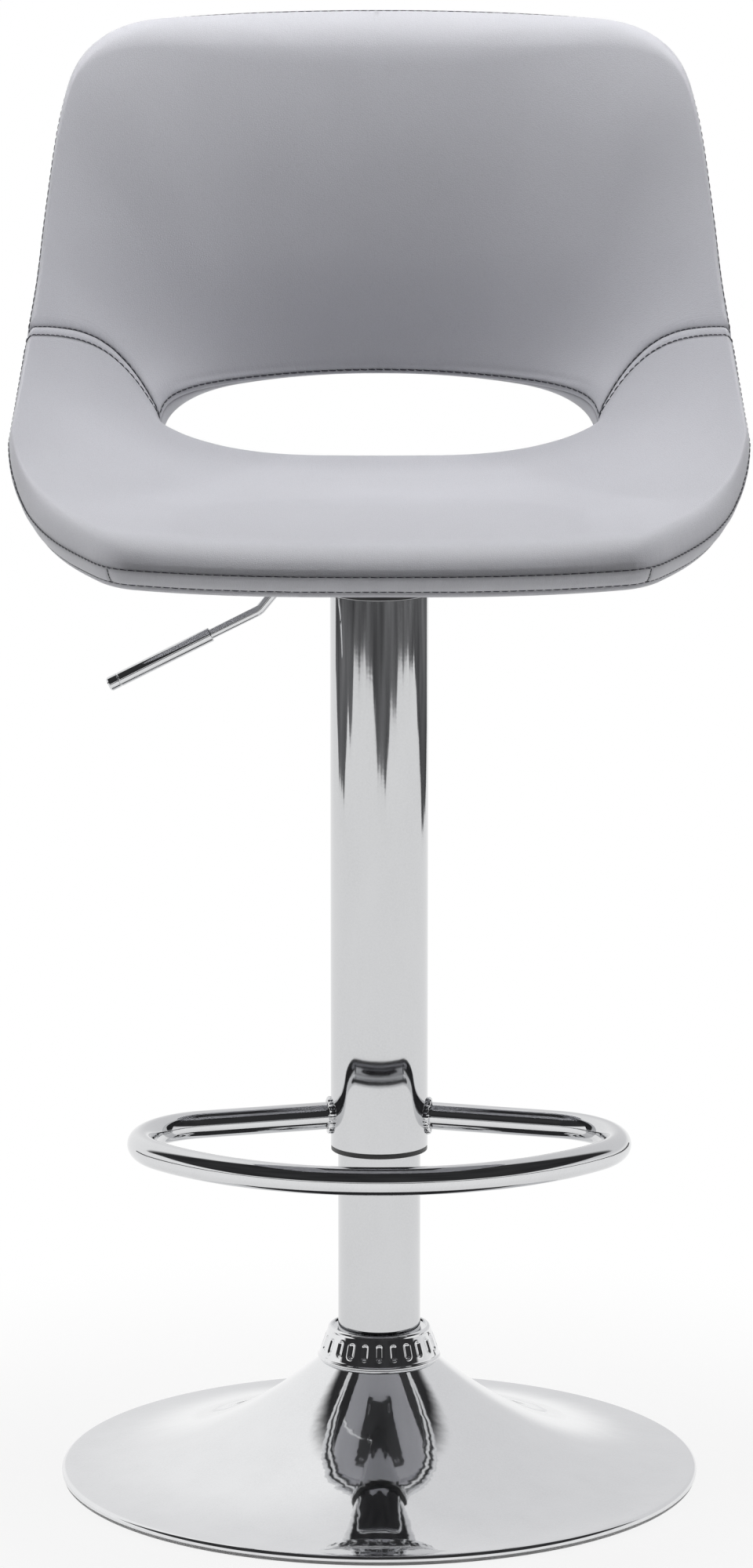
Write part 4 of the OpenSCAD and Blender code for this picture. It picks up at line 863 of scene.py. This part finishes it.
class Thread:
    """Single stitches, gathered into one mesh."""

    def __init__(self):
        self.points, self.faces, self.count = [], [], 0

    def stitch(self, path, normals, radius, rise):
        """One stitch: a short thread that comes up out of the leather, lies on it and goes down again."""
        q = np.abs(np.linspace(-1, 1, len(path)))
        centre = path + normals * (rise * (1 - 2.2 * q ** 5))[:, None]
        points, faces = sweep(centre, radius * (1 - 0.35 * q ** 3), 6, normals, 1.1, 0.9)
        self.points.append(points)
        self.faces += [tuple(self.count + f for f in face) for face in faces]
        self.count += len(points)

    def row(self, path, normals, radius, rise, slant=0.0, closed=False, pitch=5.0, length=4.4):
        """A row of stitches along a path. slant turns each one a little across the row."""
        if closed:
            path, normals = np.vstack([path, path[:1]]), np.vstack([normals, normals[:1]])
        run = run_of(path)
        count = max(1, round((run[-1] - (0 if closed else pitch - length)) / pitch))
        step = run[-1] / count
        for i in range(count):
            s = np.linspace(i * step, i * step + length * step / pitch, 7)
            p, d = at_run(s, run, path), unit(at_run(s, run, normals))
            if slant:
                p = p + unit(np.cross(p[-1] - p[0], d[3])) * (np.linspace(-1, 1, 7) * slant)[:, None]
            self.stitch(p, d, radius, rise)


def seam_line(place, out):
    """A closed line round the seat and its outward directions, from place(spokes) and out(spokes), x and h each."""
    def at(s, share):
        (x, h), (out_x, out_h) = place(s), out(s)
        return s.at((x + share * out_x + 0 * s.t)[:, None], (h + share * out_h + 0 * s.t)[:, None])
    line, tip = (all_round(lambda s: at(s, share), MIRROR)[:, 0] for share in (0, 1))
    return line, unit(tip - line)


def on_pad(top, distance):
    """Points on a pad's upper rows, at a distance along each row from its first point."""
    return np.array([at_run(d, run_of(row), row) for d, row in zip(distance, top)])


def pad_line(make, end):
    """make(0) is a line on the pads and make(1) one beside it: the line and its outward directions."""
    line = make(0)
    out = unit(np.cross(np.gradient(line, axis=0), make(1) - line))
    return line, out * -np.sign(out[end, 1])


def edge_line(inward):
    """A line along the stitches near the pads' outer edge, inward mm further in."""
    seat, back = (on_pad(top[:, ::-1], s.seam_at + inward)
                  for top, s in ((seat_top, seat_spokes), (back_top, back_spokes)))
    return np.vstack([seat, back[1:]])


sewing = Thread()
line, out = pad_line(edge_line, 0)
sewing.row(np.vstack([line, line[-2:0:-1] * MIRROR]), np.vstack([out, out[-2:0:-1] * MIRROR]), 0.47, 0.28, 0.2, True)

# Rows along the boxings' lower seams
line, out = seam_line(lambda s: (s.length - s.undercut - 0.2, s.seam_h - 0.2),
                      lambda s: np.array([BAND_H + 0 * s.t, s.undercut]) / np.hypot(s.undercut, BAND_H))
sewing.row(line, out, 0.44, 0.2, 0.15, True)
line, out = seam_line(lambda s: (s.hole_cut + 0.6, 29.6), lambda s: (-0.8, 0.6))
sewing.row(line, out, 0.34, 0.1, 0.12, True, length=4.5)

# Row inside the opening's front part, under the pad's edge
inside, tip = (seat_spokes.at(seat_spokes.each(x), seat_spokes.each(HOLE_SEAM))[:-12, 0] for x in (0.75, -0.25))
sewing.row(both_sides(inside, True, MIRROR), both_sides(unit(tip - inside), True, MIRROR), 0.36, 0.2)

# Row on the turn of the back's lower edge
line, out = pad_line(lambda beside: on_pad(back_top, np.full(len(back_top), HOLE_LINE + beside))[6:], -1)
sewing.row(both_sides(line, False, MIRROR), both_sides(out, False, MIRROR), 0.46, 0.25, 0.15)

# Rows along the cross seam between seat and back, and the second row beside it
normal = unit(np.cross(np.gradient(seat_top[-1], axis=0), seat_top[-1] - seat_top[-3]))
if normal[len(normal) // 2, 2] < 0:
    normal = -normal
seam_mid = (seat_top[-1] + back_top[0]) / 2
away = second_stitch(np.linspace(0, 1, len(seam_mid)))
second = np.array([at_run(away[j], seat_to_cross[::-1, j], seat_top[::-1, j]) for j in range(len(seam_mid))])
keep = away > 1.2
for path, normals, rise in ((seam_mid[3:-2], normal[3:-2], 0.45), (second[keep][:-1], normal[keep][:-1], 0.2)):
    for side in (1, MIRROR):
        sewing.row(path * side, normals * side, 0.46, rise, 0.15)

# Cross seams of the boxing, on the spoke nearest to each
x, h, _ = band_section(seat_spokes)
nearest = int(np.argmin(cross_gap(seat_spokes)))
path = seat_spokes.at(x, h)[nearest, 1:16]
out = unit(seat_spokes.at(x + 1, h + 0.4)[nearest, 1:16] - path)
for side in (1, MIRROR):
    sewing.row(path * side, out * side, 0.34, 0.2, pitch=4.0, length=3.7)
piece("stitching", np.vstack(sewing.points), sewing.faces, "lift", "band_leather", sharp=60, mat=stitch_thread)


# ---------------------------------------------------------------- floor, light and camera

def seen_white(name, colour, near_share):
    """A pale matt floor that the camera and reflections see nearly white, with the object's shadow on it."""
    mat = bpy.data.materials.new(name)
    tree = bare_tree(mat)
    place = node(tree, "TexCoord")["Object"]
    tone = tint(tree, noise(tree, place, 0.9), shade(colour, 0.985), colour)
    matt = node(tree, "BsdfDiffuse", {"Color": tone})[0]
    glow = node(tree, "Emission", {"Color": (1, 1, 1), "Strength": 1.0})[0]
    ray = node(tree, "LightPath")
    seen = calc(tree, "MAXIMUM", ray["Is Camera Ray"], ray["Is Glossy Ray"])
    seen = calc(tree, "MAXIMUM", seen, ray["Is Transmission Ray"])
    far = node(tree, "VectorMath", {0: place}, operation="LENGTH")["Value"]
    share = spread(tree, spread(tree, far, 0.22, 0.55, curve="SMOOTHSTEP"), 0, 1, near_share, 1.0)
    both = node(tree, "MixShader", {0: calc(tree, "MULTIPLY", seen, share), 1: matt, 2: glow})[0]
    node(tree, "OutputMaterial", {0: both})
    return mat


bpy.ops.mesh.primitive_plane_add(size=60, location=(0, 0, 0))
floor = bpy.context.object
floor.name = "floor"
floor.data.materials.append(seen_white("floor_white", (0.93, 0.93, 0.93), 0.84))

# The white floor's edge as the chrome mirrors it: beyond it, all round but behind, the studio is dark
murky = bpy.data.materials.new("dark_studio")
tree = bare_tree(murky)
patches = spread(tree, noise(tree, node(tree, "TexCoord")["Object"], 1.3, 3), 0.3, 0.7)
glow = node(tree, "Emission", {"Color": tint(tree, patches, (0.05, 0.05, 0.052), (0.22, 0.22, 0.225))})
node(tree, "OutputMaterial", {0: glow[0]})
murky.cycles.emission_sampling = "NONE"
turn = np.radians(np.linspace(-124, 150, 275))
inner = 3.12 + 0.05 * np.sin(turn * 17) + 0.03 * np.sin(turn * 41 + 1)
for at, width, depth in ((8, 21, 0.72), (-98, 21, 0.80), (128, 26, 0.98), (-70, 6, 0.35), (38, 7, 0.22)):
    inner -= depth * np.exp(-np.abs((np.degrees(turn) - at) / width) ** 2.6)
rows = np.stack([np.stack([r * np.sin(turn), -r * np.cos(turn), 0 * turn + 0.002], -1)
                 for r in (inner, inner + 1.5, inner + 15)])
dark = add("studio_dark", new_mesh("studio_dark", rows, grid(3, len(turn), False, False), murky))
for kind in ("camera", "diffuse", "shadow", "transmission"):
    setattr(dark, "visible_" + kind, False)

# The world: white for the camera and a plain grey light. Reflections see a white sweep behind the object and low
# white flats beside it, and the rest of the studio dark
world = bpy.data.worlds.new("studio")
bpy.context.scene.world = world
tree = bare_tree(world)
way = node(tree, "TexCoord")["Generated"]
east, north, height = node(tree, "SeparateXYZ", {0: way})
squares = calc(tree, "ADD", calc(tree, "POWER", east, 2.0), calc(tree, "POWER", north, 2.0))
level = calc(tree, "SQRT", calc(tree, "ADD", squares, 1e-6))
to_front = calc(tree, "DIVIDE", calc(tree, "MULTIPLY", north, -1.0), level)
to_side = calc(tree, "DIVIDE", east, level)
low_edge = spread(tree, to_front, -0.1, 0.6, 0.30, 0.03)
above = spread(tree, calc(tree, "SUBTRACT", height, low_edge), 0.0, 0.06)
off_sweep = calc(tree, "SUBTRACT", 1.0, spread(tree, north, 0.22, 0.38, curve="SMOOTHSTEP"))
white = (1.0, 1.0, 1.0)
pale = tint(tree, spread(tree, to_side, -0.35, 0.15, curve="SMOOTHSTEP"), white, (0.78, 0.78, 0.79))
pale = tint(tree, spread(tree, height, 0.0, 0.22, curve="SMOOTHSTEP"), white, pale)
murk = tint(tree, noise(tree, way, 0.35, 3), (0.008, 0.008, 0.009), (0.06, 0.06, 0.062))
mirrored = tint(tree, calc(tree, "MULTIPLY", above, off_sweep), pale, murk)
ray = node(tree, "LightPath")
shown = node(tree, "Background", {"Color": (0.12, 0.12, 0.122)})[0]
for kind, colour in (("Is Glossy Ray", mirrored), ("Is Camera Ray", white)):
    seen = node(tree, "Background", {"Color": colour})[0]
    shown = node(tree, "MixShader", {0: ray[kind], 1: shown, 2: seen})[0]
node(tree, "OutputWorld", {0: shown})


def lamp(name, place, aim, size, power, mirrored=False):
    """A soft area lamp at place that points at aim. mirrored says whether it shows in the chrome."""
    data = bpy.data.lights.new(name, "AREA")
    data.shape = "RECTANGLE"
    data.size, data.size_y = size
    data.energy = power
    obj = add(name, data)
    obj.location = place
    obj.visible_camera, obj.visible_glossy = False, mirrored
    way = np.array(aim, float) - np.array(place, float)
    flat = math.hypot(way[0], way[1])
    obj.rotation_euler = (math.atan2(flat, -way[2]), 0, math.atan2(-way[0], way[1]) if flat > 1e-6 else 0)


lamp("key_box", (0, 0.12, 1.75), (0, 0.12, 0.5), (2.5, 0.55), 18.8)
lamp("key_strip", (0, 0.05, 1.75), (0, 0.05, 0.5), (1.1, 0.25), 2.6, True)
lamp("side_left", (-2.0, -0.3, 1.0), (0, 0, 0.6), (1.2, 1.2), 8)
lamp("side_right", (2.0, -0.3, 1.0), (0, 0, 0.6), (1.2, 1.2), 8)
lamp("rear_fill", (0, 2.6, 1.5), (0, 0, 0.6), (1.6, 1.0), 9)

view = bpy.data.cameras.new("camera")
view.lens, view.sensor_width, view.sensor_fit = 144.85, 36, "AUTO"
view.shift_x = -0.00175
view.clip_end = 200
camera = add("camera", view)
camera.location = (0, -3.8, 1.145)
camera.rotation_euler = (math.radians(90 - 10.5647), 0, 0)
bpy.context.scene.camera = camera
bpy.context.scene.view_settings.view_transform = "Standard"
